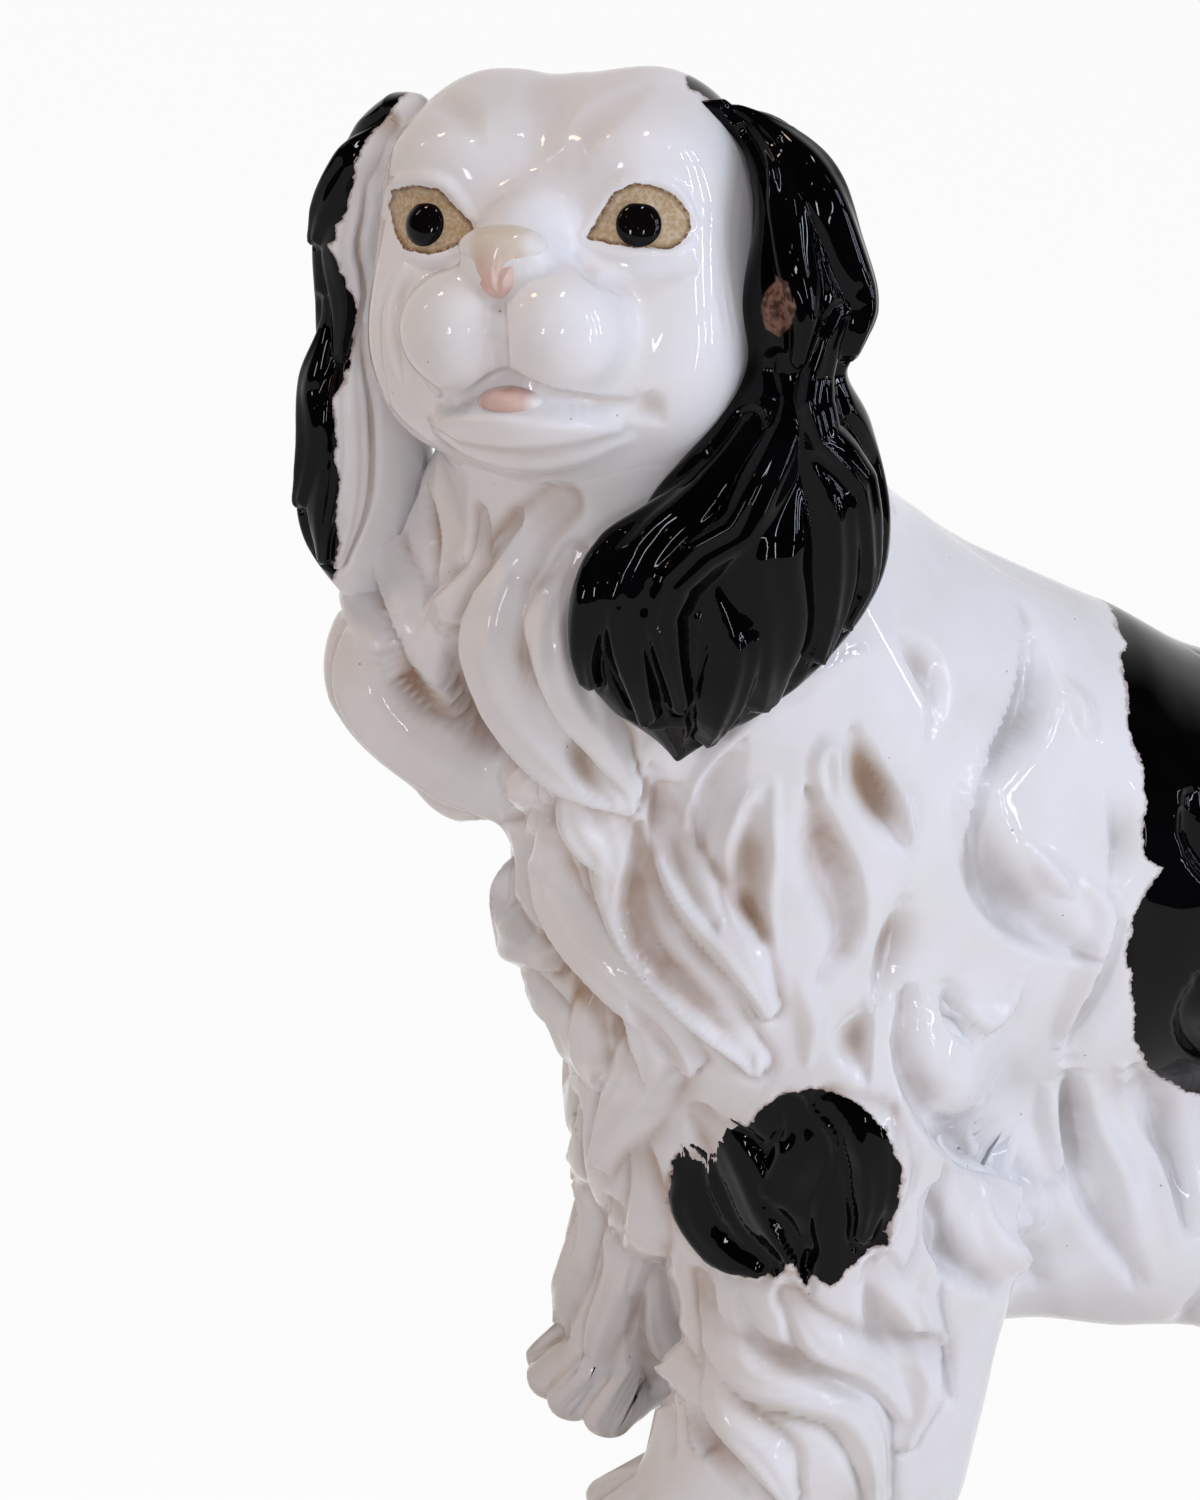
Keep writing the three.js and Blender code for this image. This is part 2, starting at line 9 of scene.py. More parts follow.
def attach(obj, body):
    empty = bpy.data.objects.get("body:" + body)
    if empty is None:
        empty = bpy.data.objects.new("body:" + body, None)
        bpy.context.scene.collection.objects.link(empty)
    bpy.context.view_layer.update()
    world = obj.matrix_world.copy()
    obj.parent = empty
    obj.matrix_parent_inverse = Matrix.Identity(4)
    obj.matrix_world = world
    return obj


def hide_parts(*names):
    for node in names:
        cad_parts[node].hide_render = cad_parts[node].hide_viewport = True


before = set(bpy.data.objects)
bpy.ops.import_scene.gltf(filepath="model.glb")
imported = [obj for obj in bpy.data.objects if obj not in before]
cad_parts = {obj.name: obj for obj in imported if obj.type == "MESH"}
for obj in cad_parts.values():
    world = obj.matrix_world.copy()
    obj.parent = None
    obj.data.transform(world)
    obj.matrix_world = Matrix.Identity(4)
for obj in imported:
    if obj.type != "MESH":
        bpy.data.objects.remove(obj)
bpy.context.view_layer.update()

METRES = 0.001
SHIFT = np.array([0.0, -7.016, 0.0])  # the part's origin is under the middle of the statue
UP = np.array([0.0, 0.0, 1.0])


def arr(*numbers):
    """Numbers, or rows of them, as one array."""
    return np.array(numbers, dtype=float)


def dot(a, b):
    """Products summed over the last axis."""
    return np.einsum("...i,...i->...", a, b)


def length(a):
    """Root of the squares summed over the last axis."""
    return np.sqrt(dot(a, a))


def unit(a):
    """Each vector over its length."""
    return a / (length(a)[..., None] + 1e-12)


def ramp(value, low, high):
    """0 below low, 1 above high, and an S-shaped curve, 3t^2 - 2t^3, between."""
    t = np.clip((value - low) / (high - low), 0, 1)
    return t * t * (3 - 2 * t)


def to_metres(points):
    """From millimetres in the statue's frame to metres round the part's origin."""
    return (points + SHIFT) * METRES


# Camera: where the photograph was taken from
PHOTO = (1200, 1500)
FOCAL = 4290  # pixels
SENSOR = 36  # mm
AZIMUTH, ELEVATION, ROLL = np.radians([58.0, 20.0, 9.0])
AIM = arr(-4.566, -123.444, 235.991)
RANGE = 1174.4
BACK = arr(np.sin(AZIMUTH) * np.cos(ELEVATION), -np.cos(AZIMUTH) * np.cos(ELEVATION), np.sin(ELEVATION))
LEVEL_RIGHT = arr(np.cos(AZIMUTH), np.sin(AZIMUTH), 0)
LEVEL_UP = np.cross(BACK, LEVEL_RIGHT)
RIGHT = LEVEL_RIGHT * np.cos(ROLL) + LEVEL_UP * np.sin(ROLL)
CROWN = LEVEL_UP * np.cos(ROLL) - LEVEL_RIGHT * np.sin(ROLL)
EYE_POINT = AIM + RANGE * BACK
PIXELS_PER_MM = FOCAL / RANGE

camera = bpy.data.objects.new("camera", bpy.data.cameras.new("camera"))
bpy.context.scene.collection.objects.link(camera)
camera.data.sensor_width = SENSOR
camera.data.lens = SENSOR * FOCAL / max(PHOTO)
camera.data.clip_end = 20
turned = Matrix([[*RIGHT], [*CROWN], [*BACK]]).transposed().to_4x4()
camera.matrix_world = Matrix.Translation(Vector(to_metres(EYE_POINT))) @ turned
bpy.context.scene.camera = camera


def to_pixels(points):
    """Pinhole projection: across and down in the photograph's pixels."""
    away = points - EYE_POINT
    depth = -(away @ BACK)
    return np.stack([PHOTO[0] / 2 + FOCAL * (away @ RIGHT) / depth,
                     PHOTO[1] / 2 - FOCAL * (away @ CROWN) / depth], -1)


def sight(pixels):
    """The direction in which each pixel looks."""
    x, y = np.moveaxis(np.asarray(pixels, float), -1, 0)
    line = ((x - PHOTO[0] / 2)[..., None] * RIGHT - (y - PHOTO[1] / 2)[..., None] * CROWN) / FOCAL - BACK
    return unit(line)


# Swellings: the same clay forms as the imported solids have
def swelling(at, radii, axes=np.eye(3)):
    """An ellipsoid. With q the point over the radii, the distance is about |q|(|q| - 1)/|q/radii|."""
    at, radii = np.asarray(at, float), np.asarray(radii, float)

    def distance(p):
        q = (p - at) @ axes.T / radii
        near = length(q)
        return near * (near - 1) / (length(q / radii) + 1e-9)
    return distance


def limb(a, b, r0, r1):
    """A line from a to b with a radius that runs from r0 to r1: distance to the line less the radius."""
    a, b = np.asarray(a, float), np.asarray(b, float)
    along = b - a

    def distance(p):
        t = np.clip((p - a) @ along / (along @ along), 0, 1)
        return length(p - a - t[..., None] * along) - (r0 + (r1 - r0) * t)
    return distance


def run_together(parts, roundness):
    """The least of several distances, rounded where two are nearer to each other than the roundness."""
    def distance(p):
        d = parts[0](p)
        for part in parts[1:]:
            other = part(p)
            h = np.clip(0.5 + 0.5 * (other - d) / roundness, 0, 1)
            d = other + (d - other) * h - roundness * h * (1 - h)
        return d
    return distance


# mm of roundness where one form of clay runs into the next
BLEND, HEAD_BLEND, MUZZLE_BLEND = 18, 9, 5
PAW_BLEND, TOE_BLEND, SOLE_EDGE, NOSE_BLEND = 7, 1.5, 4, 4
torso_form = run_together([
    swelling((0, -30, 200), (62, 80, 76)),
    swelling((0, 51, 188), (60, 90, 74)),
    swelling((0, 132, 178), (62, 72, 72)),
    swelling((0, 44, 100), (46, 105, 53)),
    swelling((0, -45, 125), (52, 60, 50)),
    limb((-4, -48, 262), (-2, 20, 232), 42, 46),
    *(limb((side * 24, 75, 82), (side * 28, 125, 79), 29, 32) for side in (1, -1)),
], BLEND)
neck_form = run_together([
    limb((-2, -81, 254), (-2, -132, 330), 63, 50),
    swelling((0, -84, 200), (60, 56, 70)),
    limb((-34, -150, 294), (-46, -156, 246), 22, 26),
    limb((-46, -156, 246), (-28, -150, 222), 25, 14),
    limb((12, -145, 280), (16, -138, 232), 34, 18),
    swelling((-8, -60, 132), (54, 44, 62)),
], BLEND)

# Head: a frame of its own, out to the dog's left, up the crown and forward to the nose
HEAD_AT = arr(5, -163, 374)
TURN, LIFT, TILT = np.radians([37.5, 15.7, 13.0])
FACING = arr(np.sin(TURN) * np.cos(LIFT), -np.cos(TURN) * np.cos(LIFT), np.sin(LIFT))
LEVEL = unit(np.cross(UP, FACING))
UPRIGHT = np.cross(FACING, LEVEL)
ACROSS = LEVEL * np.cos(TILT) + UPRIGHT * np.sin(TILT)
TOP = UPRIGHT * np.cos(TILT) - LEVEL * np.sin(TILT)
HEAD_AXES = np.stack([ACROSS, TOP, FACING])


def on_head(out, up, forward):
    """A place that is out, up and forward from the middle of the head."""
    return HEAD_AT + arr(out, up, forward) @ HEAD_AXES


def head_swelling(out, up, forward, wide, high, deep):
    """A swelling that is placed and turned with the head."""
    return swelling(on_head(out, up, forward), (wide, high, deep), HEAD_AXES)


def both_sides(out, *rest):
    """The same swelling on either side of the face."""
    return [head_swelling(out, *rest), head_swelling(-out, *rest)]


skull_form = run_together([
    *both_sides(20, 12, -6, 31, 41, 33),
    head_swelling(0, 13, -6, 30, 37.5, 31),
    head_swelling(0, 4, -20, 48, 42, 40),
    *both_sides(27, -15, 1, 24, 32, 26),
    head_swelling(0, -27, 6, 34, 24, 30),
    head_swelling(0, 4, 26, 12, 13, 17),
    head_swelling(0, -42, 20, 20, 10, 19),
    *both_sides(23, 27, 9, 19, 12, 19),
], HEAD_BLEND)
muzzle_form = run_together([
    *both_sides(12.5, -18, 31, 17.5, 17, 20),
    head_swelling(0, -1, 40, 12, 8, 9.5),
], MUZZLE_BLEND)
chin_form = head_swelling(0, -41.5, 23, 24, 5.5, 21)
head_form = run_together([skull_form, muzzle_form, chin_form], MUZZLE_BLEND)


def standing(form):
    """A form cut off by the ground, with the edge of the sole rounded by SOLE_EDGE."""
    def distance(p):
        d, below = form(p), -p[..., 2]
        h = np.clip(0.5 + 0.5 * (d - below) / SOLE_EDGE, 0, 1)
        return below + (d - below) * h + SOLE_EDGE * h * (1 - h)
    return distance


def foreleg_form(side, wrist, heel):
    """The wrist and the heel each have a place and a radius. The left forefoot steps forward and the
    right one stands back and out."""
    s = arr(side, 1, 1)
    out, back = heel[0][:2]
    toes = []
    for spread, reach in ((-14, 5), (-5, -1), (5, -1), (14, 5)):
        root = arr(out + spread, back - 8, 9)
        tip = arr(out - 1 + 1.3 * spread, back - 20 + reach, 8)
        toes.append(limb(s * root, s * tip, 8.5, 8))
    leg = run_together([
        limb(s * arr(38, -52, 150), s * wrist[0], 37, wrist[1]),
        limb(s * wrist[0], s * heel[0], wrist[1], heel[1]),
        limb(s * arr(40, -16, 96), s * arr(40, -17, 24), 28, 26),
    ], BLEND)
    return standing(run_together([leg, run_together(toes, TOE_BLEND)], PAW_BLEND))


def hindleg_form(side):
    """A thigh down to the knee, a shank back to the heel, and a paw with four toes."""
    s = arr(side, 1, 1)
    toes = []
    for spread, reach in ((-14, 4), (-5, -1), (5, -1), (14, 4)):
        root = arr(36 + spread, 182, 9)
        tip = arr(35 + 1.35 * spread, 171 + reach, 7.5)
        toes.append(limb(s * root, s * tip, 8, 7.2))
    leg = run_together([
        limb(s * arr(37, 142, 150), s * arr(39, 134, 86), 42, 36),
        limb(s * arr(39, 134, 86), s * arr(39, 182, 30), 36, 24),
        limb(s * arr(37, 186, 15), s * arr(36, 180, 11), 18, 14),
    ], BLEND)
    return standing(run_together([leg, run_together(toes, TOE_BLEND)], PAW_BLEND))


tail_form = run_together([
    limb((0, 192, 208), (0, 204, 152), 18, 22),
    limb((0, 204, 152), (0, 198, 92), 22, 13),
], BLEND)

FORMS = {
    "torso": torso_form, "neck": neck_form, "head": head_form, "tail": tail_form,
    "left_foreleg": foreleg_form(1, (arr(36, -56, 44), 28), (arr(34, -76, 16), 18)),
    "right_foreleg": foreleg_form(-1, (arr(47, -46, 44), 26), (arr(47, -54, 16), 19)),
    "left_hindleg": hindleg_form(1), "right_hindleg": hindleg_form(-1),
}
NEIGHBOURS = {
    "torso": ["torso", "neck", "left_foreleg", "right_foreleg", "left_hindleg", "right_hindleg", "tail"],
    "neck": ["torso", "neck", "left_foreleg", "right_foreleg", "head"],
    "head": ["torso", "neck", "head"],
    "tail": ["torso", "left_hindleg", "right_hindleg", "tail"],
    "left_foreleg": ["torso", "neck", "left_foreleg", "right_foreleg"],
    "right_foreleg": ["torso", "neck", "left_foreleg", "right_foreleg"],
    "left_hindleg": ["torso", "left_hindleg", "right_hindleg", "tail"],
    "right_hindleg": ["torso", "left_hindleg", "right_hindleg", "tail"],
}


def whole_form(names):
    """The sections run together with BLEND, or HEAD_BLEND where the head comes in."""
    low = run_together([FORMS[name] for name in names if name != "head"], BLEND)
    return run_together([low, FORMS["head"]], HEAD_BLEND) if "head" in names else low


TUCK = 0.1  # per mm, how fast a skin passes under its neighbour


def section_form(name):
    """The whole form within one section's own share of it. Where another section is nearer by e mm, the
    surface sinks by TUCK e^2, so the skins of two sections meet flush and then pass under each other."""
    together = whole_form(NEIGHBOURS[name])
    others = [other for other in NEIGHBOURS[name] if other != name]

    def distance(p):
        beyond = FORMS[name](p) - np.min([FORMS[other](p) for other in others], axis=0)
        return together(p) + TUCK * np.clip(beyond, 0, None) ** 2
    return distance


# Skins: a grid of rays that leave a line inside the section
def ray_grid(low, high, sides, rings, front, crowding):
    """A sphere's rays, from pole to pole, with their starts spread along the line from low to high.
    Round the line they are crowded towards the front, where the photograph shows the most."""
    low, high, front = (np.asarray(v, float) for v in (low, high, front))
    axis = unit(high - low)
    ahead = unit(front - front @ axis * axis)
    aside = np.cross(axis, ahead)
    polar = np.pi * np.arange(rings + 1) / rings
    round_ = 2 * np.pi * np.arange(sides) / sides
    round_ = round_ - crowding * np.sin(round_)
    reach = np.cos(round_)[:, None] * ahead + np.sin(round_)[:, None] * aside
    direction = np.cos(polar)[:, None, None] * axis + np.sin(polar)[:, None, None] * reach
    start = (low + high) / 2 + np.cos(polar)[:, None, None] * (high - low) / 2
    return np.broadcast_to(start, direction.shape), direction


def spread_out(coarse, rows, columns):
    """A coarse grid, closed round its rows, filled in between its points in straight lines."""
    closed = np.concatenate([coarse, coarse[:, :1]], axis=1)
    across = np.linspace(0, closed.shape[1] - 1, columns + 1)[:-1]
    down = np.linspace(0, closed.shape[0] - 1, rows)
    i, j = down.astype(int).clip(max=closed.shape[0] - 2), across.astype(int)
    f, g = (down - i)[:, None], (across - j)[None]
    upper = closed[i][:, j] * (1 - g) + closed[i][:, j + 1] * g
    lower = closed[i + 1][:, j] * (1 - g) + closed[i + 1][:, j + 1] * g
    return upper * (1 - f) + lower * f


OUTWARD_STEPS, NEWTON_STEPS = 26, 3
FIRST, SLOPE_OVER = 4.0, 0.4  # mm along a ray


def solve(form, start, direction, skip=4):
    """Where each ray leaves the form. Every fourth ray steps out by 0.85 of what the form says is left, the
    rest start between those, and Newton's rule, less value over slope, brings all of them home."""
    s, d = start[::skip, ::skip], direction[::skip, ::skip]
    r = np.full(s.shape[:2], FIRST)
    for _ in range(OUTWARD_STEPS):
        r = r + np.clip(-0.85 * form(s + r[..., None] * d), -6, 30)
    r = spread_out(r, *start.shape[:2])
    for _ in range(NEWTON_STEPS):
        value = form(start + r[..., None] * direction)
        slope = (form(start + (r + SLOPE_OVER)[..., None] * direction) - value) / SLOPE_OVER
        r = r - np.clip(value / np.clip(slope, 0.3, None), -3, 3)
    return start + r[..., None] * direction


def leaving(form, start, direction):
    """The one point where a line that starts inside the form leaves it."""
    grid = np.zeros((4, 4, 3))
    return solve(form, grid + start, grid + direction, 1)[0, 0]


def grid_normals(rows):
    """Across the grid times down the grid; a pole takes the mean of the ring beside it."""
    down = np.gradient(rows, axis=0)
    across = np.roll(rows, -1, axis=1) - np.roll(rows, 1, axis=1)
    normals = np.cross(across, down)
    outward = np.sign(np.sum(dot(normals, rows - rows.mean((0, 1)))))
    normals = unit(normals) * outward
    for pole, beside in ((0, 1), (-1, -2)):
        normals[pole] = unit(normals[beside].mean(0))
    return normals


def quads_between(rings, sides, first=0):
    """Each quad joins two neighbours on a ring to the two below them on the next ring."""
    ring = first + sides * np.arange(rings - 1)[:, None] + np.arange(sides)
    after = first + sides * np.arange(rings - 1)[:, None] + (np.arange(sides) + 1) % sides
    return np.stack([ring, after, after + sides, ring + sides], -1).reshape(-1, 4)


def one_pole_each(grid):
    """The grid as one list, in which the first ring and the last are a single entry."""
    return np.concatenate([grid[:1, 0], grid[1:-1].reshape(-1, *grid.shape[2:]), grid[-1:, 0]])


def closed_mesh(name, rows, **marks):
    """Quads between the rings, a fan at each pole, and one value per vertex for each mark."""
    count, sides = rows.shape[:2]
    points = one_pole_each(rows)
    quads = quads_between(count - 2, sides, 1)
    first, step = 1 + np.arange(sides), 1 + (np.arange(sides) + 1) % sides
    last = len(points) - 1
    base = last - sides - 1
    fans = np.concatenate([np.stack([np.zeros_like(first), step, first], -1),
                           np.stack([np.full_like(first, last), base + first, base + step], -1)])
    a, b, c = (points[quads[:, k]] for k in (0, 1, 2))
    if np.sum(dot(np.cross(b - a, c - a), a - points.mean(0))) < 0:
        quads, fans = quads[:, ::-1], fans[:, ::-1]
    mesh = bpy.data.meshes.new(name)
    mesh.from_pydata(to_metres(points).tolist(), [], quads.tolist() + fans.tolist())
    mesh.polygons.foreach_set("use_smooth", np.ones(len(quads) + len(fans), bool))
    for mark, values in marks.items():
        layer = mesh.attributes.new(mark, "FLOAT", "POINT")
        layer.data.foreach_set("value", one_pole_each(values).astype(np.float32))
    piece = bpy.data.objects.new(name, mesh)
    bpy.context.scene.collection.objects.link(piece)
    return piece


# piece: line inside it (low, high), sides, rings, front, crowding
GRIDS = {
    "torso": ((0, 132, 178), (0, -30, 180), 400, 236, (1, -0.3, 0.1), 0.25),
    "neck": ((-8, -84, 200), (-2, -118.5, 311.25), 400, 236, (0.6, -0.8, 0), 0.3),
    "head": (on_head(0, -6.75, -6), on_head(0, 4, -6), 440, 224, FACING, 0.45),
    "left_foreleg": ((36, -40, 20), (38, -52, 150), 320, 200, (0.6, -0.8, 0), 0.2),
    "right_foreleg": ((-36, -40, 20), (-38, -52, 150), 280, 180, (0.2, -1, 0), 0.3),
    "left_hindleg": ((39, 172, 22), (37, 142, 150), 240, 140, (1, -0.3, 0), 0.1),
    "right_hindleg": ((-39, 172, 22), (-37, 142, 150), 240, 140, (-1, -0.3, 0), 0.1),
    "tail": ((0, 199.2, 104), (0, 192, 208), 180, 140, (0, 1, 0), 0.0),
}
COARSER = 1
skins = {}
for name, (low, high, sides, rings, front, crowding) in GRIDS.items():
    start, direction = ray_grid(low, high, sides // COARSER, rings // COARSER, front, crowding)
    skins[name] = solve(section_form(name), start, direction)


# Lines: hair locks, ridges and creases are all routes with a width and a height
def smooth_line(points, count):
    """Catmull-Rom: between b and c the line is (2b + (c-a)t + (2a-5b+4c-d)t^2 + (3b-a-3c+d)t^3) / 2."""
    points = np.asarray(points, float)
    ends = np.concatenate([2 * points[:1] - points[1:2], points, 2 * points[-1:] - points[-2:-1]])
    place = np.linspace(0, len(points) - 1, count)
    i = place.astype(int).clip(max=len(points) - 2)
    t = (place - i)[:, None]
    a, b, c, d = (ends[i + k] for k in range(4))
    return (2 * b + (c - a) * t + (2 * a - 5 * b + 4 * c - d) * t ** 2 + (3 * b - a - 3 * c + d) * t ** 3) / 2


everywhere = whole_form(list(FORMS))


def gradient(form, points):
    """The form's value and its slope, which comes from a step of 0.5 mm along each axis."""
    here = form(points)
    return here, np.stack([(form(points + 0.5 * axis) - here) / 0.5 for axis in np.eye(3)], -1)


CLOSEST, SIGHT_STEPS = 700.0, 90  # mm from the camera, short of the statue


def onto_skin(pixels):
    """Where the sight line of each pixel first meets the skin: it steps on by 0.7 of what is left. A line
    that passes by stops at its nearest point."""
    line = sight(pixels)
    r = np.full(line.shape[:-1], CLOSEST)
    best, least = r.copy(), np.full(r.shape, 1e9)
    for _ in range(SIGHT_STEPS):
        left = everywhere(EYE_POINT + r[..., None] * line)
        best = np.where(left < least, r, best)
        least = np.minimum(left, least)
        r = r + np.clip(0.7 * left, -4, 60)
    return EYE_POINT + best[..., None] * line


def route_of(route, normals, half, height, lean, kind):
    """A stroke: the line, the way across it on the skin, its half width, height, and how far its crest
    leans to one side."""
    along = np.diff(route, axis=0)
    across = unit(np.cross(along, (normals[1:] + normals[:-1]) / 2))
    return dict(route=route, along=along, across=across, half=half, height=height, lean=lean, kind=kind)


POINTS_PER_STROKE = 12


def drawn(strokes, kind="lock"):
    """Strokes that are given by the photograph's pixels, from root to tip."""
    lines = onto_skin(np.stack([smooth_line(pixels, POINTS_PER_STROKE) for *_, pixels in strokes]))
    _, slopes = gradient(everywhere, lines)
    return [route_of(line, unit(slope), half, height, lean, kind)
            for line, slope, (half, height, lean, _) in zip(lines, slopes, strokes)]


def drawn_on(tree, strokes, kind="lock"):
    """The same on a mesh: the sight line of each pixel is cast at its faces."""
    made = []
    for half, height, lean, pixels in strokes:
        cast = [tree.ray_cast(Vector(EYE_POINT), Vector(line))
                for line in sight(smooth_line(pixels, POINTS_PER_STROKE))]
        hits = [(place, normal) for place, normal, *_ in cast if place is not None]
        if len(hits) > 2:
            line, normals = (np.array(list(part)) for part in zip(*hits))
            made.append(route_of(line, normals, half, height, lean, kind))
    return made


CELL = 10.0  # mm, size of the boxes that points are sorted into
SPAN = 1000  # boxes along each axis


def into_cells(points):
    """Points sorted by the box that they lie in: their order, where each box's run of them starts and stops,
    and the middles of the boxes."""
    key = np.floor(points / CELL).astype(np.int64) + SPAN // 2
    code = (key[:, 0] * SPAN + key[:, 1]) * SPAN + key[:, 2]
    order = np.argsort(code, kind="stable")
    codes, starts = np.unique(code[order], return_index=True)
    stops = np.append(starts[1:], len(order))
    corner = np.stack([codes // SPAN ** 2, codes // SPAN % SPAN, codes % SPAN], -1) - SPAN // 2
    return order, starts, stops, (corner + 0.5) * CELL


SHARPNESS = 4  # of the valleys between locks
SINK = 2.0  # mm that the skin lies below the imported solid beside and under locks


def points_by(stroke, flat, order, starts, stops, middles):
    """The points that a stroke can reach: their numbers, how far along its line they lie, 0 to 1, and how
    far to its side, in mm."""
    route, along = stroke["route"], stroke["along"]
    margin = 1.7 * stroke["half"] + CELL * 0.87  # its own reach, and half of a box's diagonal
    inside_box = (middles > route.min(0) - margin) & (middles < route.max(0) + margin)
    boxes = np.flatnonzero(np.all(inside_box, axis=1))
    boxes = boxes[length(middles[boxes][:, None] - route).min(1) < margin + 4]
    near = np.concatenate([order[:0], *(order[starts[box]:stops[box]] for box in boxes)])
    away = flat[near][:, None] - route[:-1]
    t = np.clip(dot(away, along) / (dot(along, along) + 1e-9), 0, 1)
    off = away - t[..., None] * along
    apart = length(off)
    nearest = apart.argmin(1)
    pick = np.arange(len(near)), nearest
    run = np.append(0, np.cumsum(length(along)))
    s = (run[nearest] + t[pick] * length(along)[nearest]) / run[-1]
    return near, s, apart[pick] * np.sign(dot(off[pick], stroke["across"][nearest]) + 1e-9)


def leaned(v, lean):
    """v less lean (1 - v^2): 0 lies where the crest is, and -1 and 1 stay where they are."""
    return v - lean * (1 - np.clip(v, -1, 1) ** 2)


def lock(stroke, s, side):
    """A tube with steep sides: height (1 - v^2)^0.8, with fine strands along it, half as wide at its root
    and its tip. Past its edge, up to 1.6 half widths, it still covers the skin."""
    wide = stroke["half"] * (0.5 + 0.5 * ramp(s, 0, 0.35)) * (1 - 0.5 * ramp(s, 0.65, 1))
    tall = stroke["height"] * (0.1 + 0.9 * ramp(s, 0, 0.4)) * (1 - 0.2 * ramp(s, 0.8, 1))
    v = side / wide
    bent = leaned(v, stroke["lean"])
    shape = np.clip(1 - bent ** 2, 0, None) ** 0.8
    strands = 1 - 0.1 * np.cos(2 * np.pi * (bent * 1.1 + 0.15)) * ramp(shape, 0.2, 0.8)
    return tall * shape * strands * (np.abs(v) < 1), 1 - ramp(np.abs(v), 0.9, 1.6)


def leaf(stroke, s, side, steep):
    """A leaf that is widest before its middle: height sin(pi s)^0.6 (1 - v^2)^steep."""
    belly = np.sin(np.pi * np.clip(s, 0.03, 0.97) ** 0.85) ** 0.7
    v = side / (stroke["half"] * (0.3 + 0.7 * belly))
    tall = stroke["height"] * np.sin(np.pi * np.clip(s, 0.06, 0.94)) ** 0.6
    return tall * np.clip(1 - leaned(v, stroke["lean"]) ** 2, 0, None) ** steep * (np.abs(v) < 1)


def relief(rows, strokes):
    """Height of the hair over the skin, and how deep in a hollow each point is, 0 to 1. Locks add up as the
    fourth root of the sum of fourth powers, so the higher one wins, and so do valleys. Of the creases that
    meet at a point the deepest counts, and of the ridges the highest."""
    flat = rows.reshape(-1, 3)
    cells = into_cells(flat)
    crest, valley, crease, ridge, cover = (np.zeros(len(flat)) for _ in range(5))
    for stroke in strokes:
        near, s, side = points_by(stroke, flat, *cells)
        if stroke["kind"] == "lock":
            rise, over = lock(stroke, s, side)
            crest[near] += rise ** SHARPNESS
            cover[near] = np.maximum(cover[near], over)
        elif stroke["kind"] == "valley":
            valley[near] += leaf(stroke, s, side, 1.3) ** SHARPNESS
        elif stroke["kind"] == "ridge":
            ridge[near] = np.maximum(ridge[near], leaf(stroke, s, side, 2))
        else:
            crease[near] = np.maximum(crease[near], leaf(stroke, s, side, 2))
    crest, valley = crest ** (1 / SHARPNESS), valley ** (1 / SHARPNESS)
    # a hollow is full between locks, in a valley 4.6 mm deep and in a crease 3.75 mm deep; the white glaze is
    # painted darker there, as shade
    hollow = 0.9 * cover * np.clip(1 - crest / 2.6, 0, 1) + valley / 4.6 + 0.8 * crease / 3
    height = crest + ridge - crease - valley - SINK * cover
    return height.reshape(rows.shape[:2]), np.clip(hollow, 0, 1).reshape(rows.shape[:2])


# half width mm, height mm, lean of the crest, then pixels of the photograph from root to tip
RUFF_LOCKS = (
    (12, 7, 0.1, ((354, 600), (350, 660), (376, 718), (430, 765), (500, 808))),
    (7.5, 7, 0.2, ((412, 486), (392, 530), (389, 566), (408, 612), (420, 660))),
    (7.5, 7, -0.2, ((478, 520), (470, 578), (438, 622), (428, 668), (452, 715))),
    (7, 5, 0.2, ((352, 530), (352, 575), (366, 622), (398, 668))),
    (9, 5, 0.1, ((405, 690), (440, 735), (490, 765), (535, 800))),
    (10, 8, 0.15, ((561, 503), (505, 560), (488, 630), (500, 690), (532, 738), (575, 780), (625, 800))),
    (8, 6.5, -0.2, ((575, 560), (545, 620), (555, 690), (590, 740), (630, 790))),
    (6, 5, 0.2, ((585, 680), (600, 725), (628, 770))),
)
CHEST_LOCKS = (
    (10, 7, 0.3, ((545, 820), (552, 880), (575, 930), (612, 972), (655, 1015), (690, 1062))),
    (10, 7, 0.3, ((605, 800), (620, 885), (648, 945), (695, 998), (755, 1062))),
    (8, 5.5, 0.3, ((672, 800), (678, 860), (705, 910), (740, 950), (770, 1010))),
    (6.5, 5, 0.2, ((565, 790), (580, 835), (614, 872))),
    (10, 7, 0.2, ((482, 835), (485, 880), (505, 925), (545, 958))),
    (8, 5, 0.2, ((515, 935), (530, 985), (560, 1020), (580, 1070))),
    (7, 5, 0.2, ((578, 995), (585, 1040), (594, 1085))),
    (11, 6, 0.3, ((598, 975), (640, 1020), (650, 1065), (622, 1115), (600, 1160))),
    (8, 5, 0.2, ((575, 1110), (575, 1160), (590, 1210), (582, 1265))),
    (8, 5, 0.2, ((625, 1120), (640, 1170), (645, 1230), (630, 1290))),
)
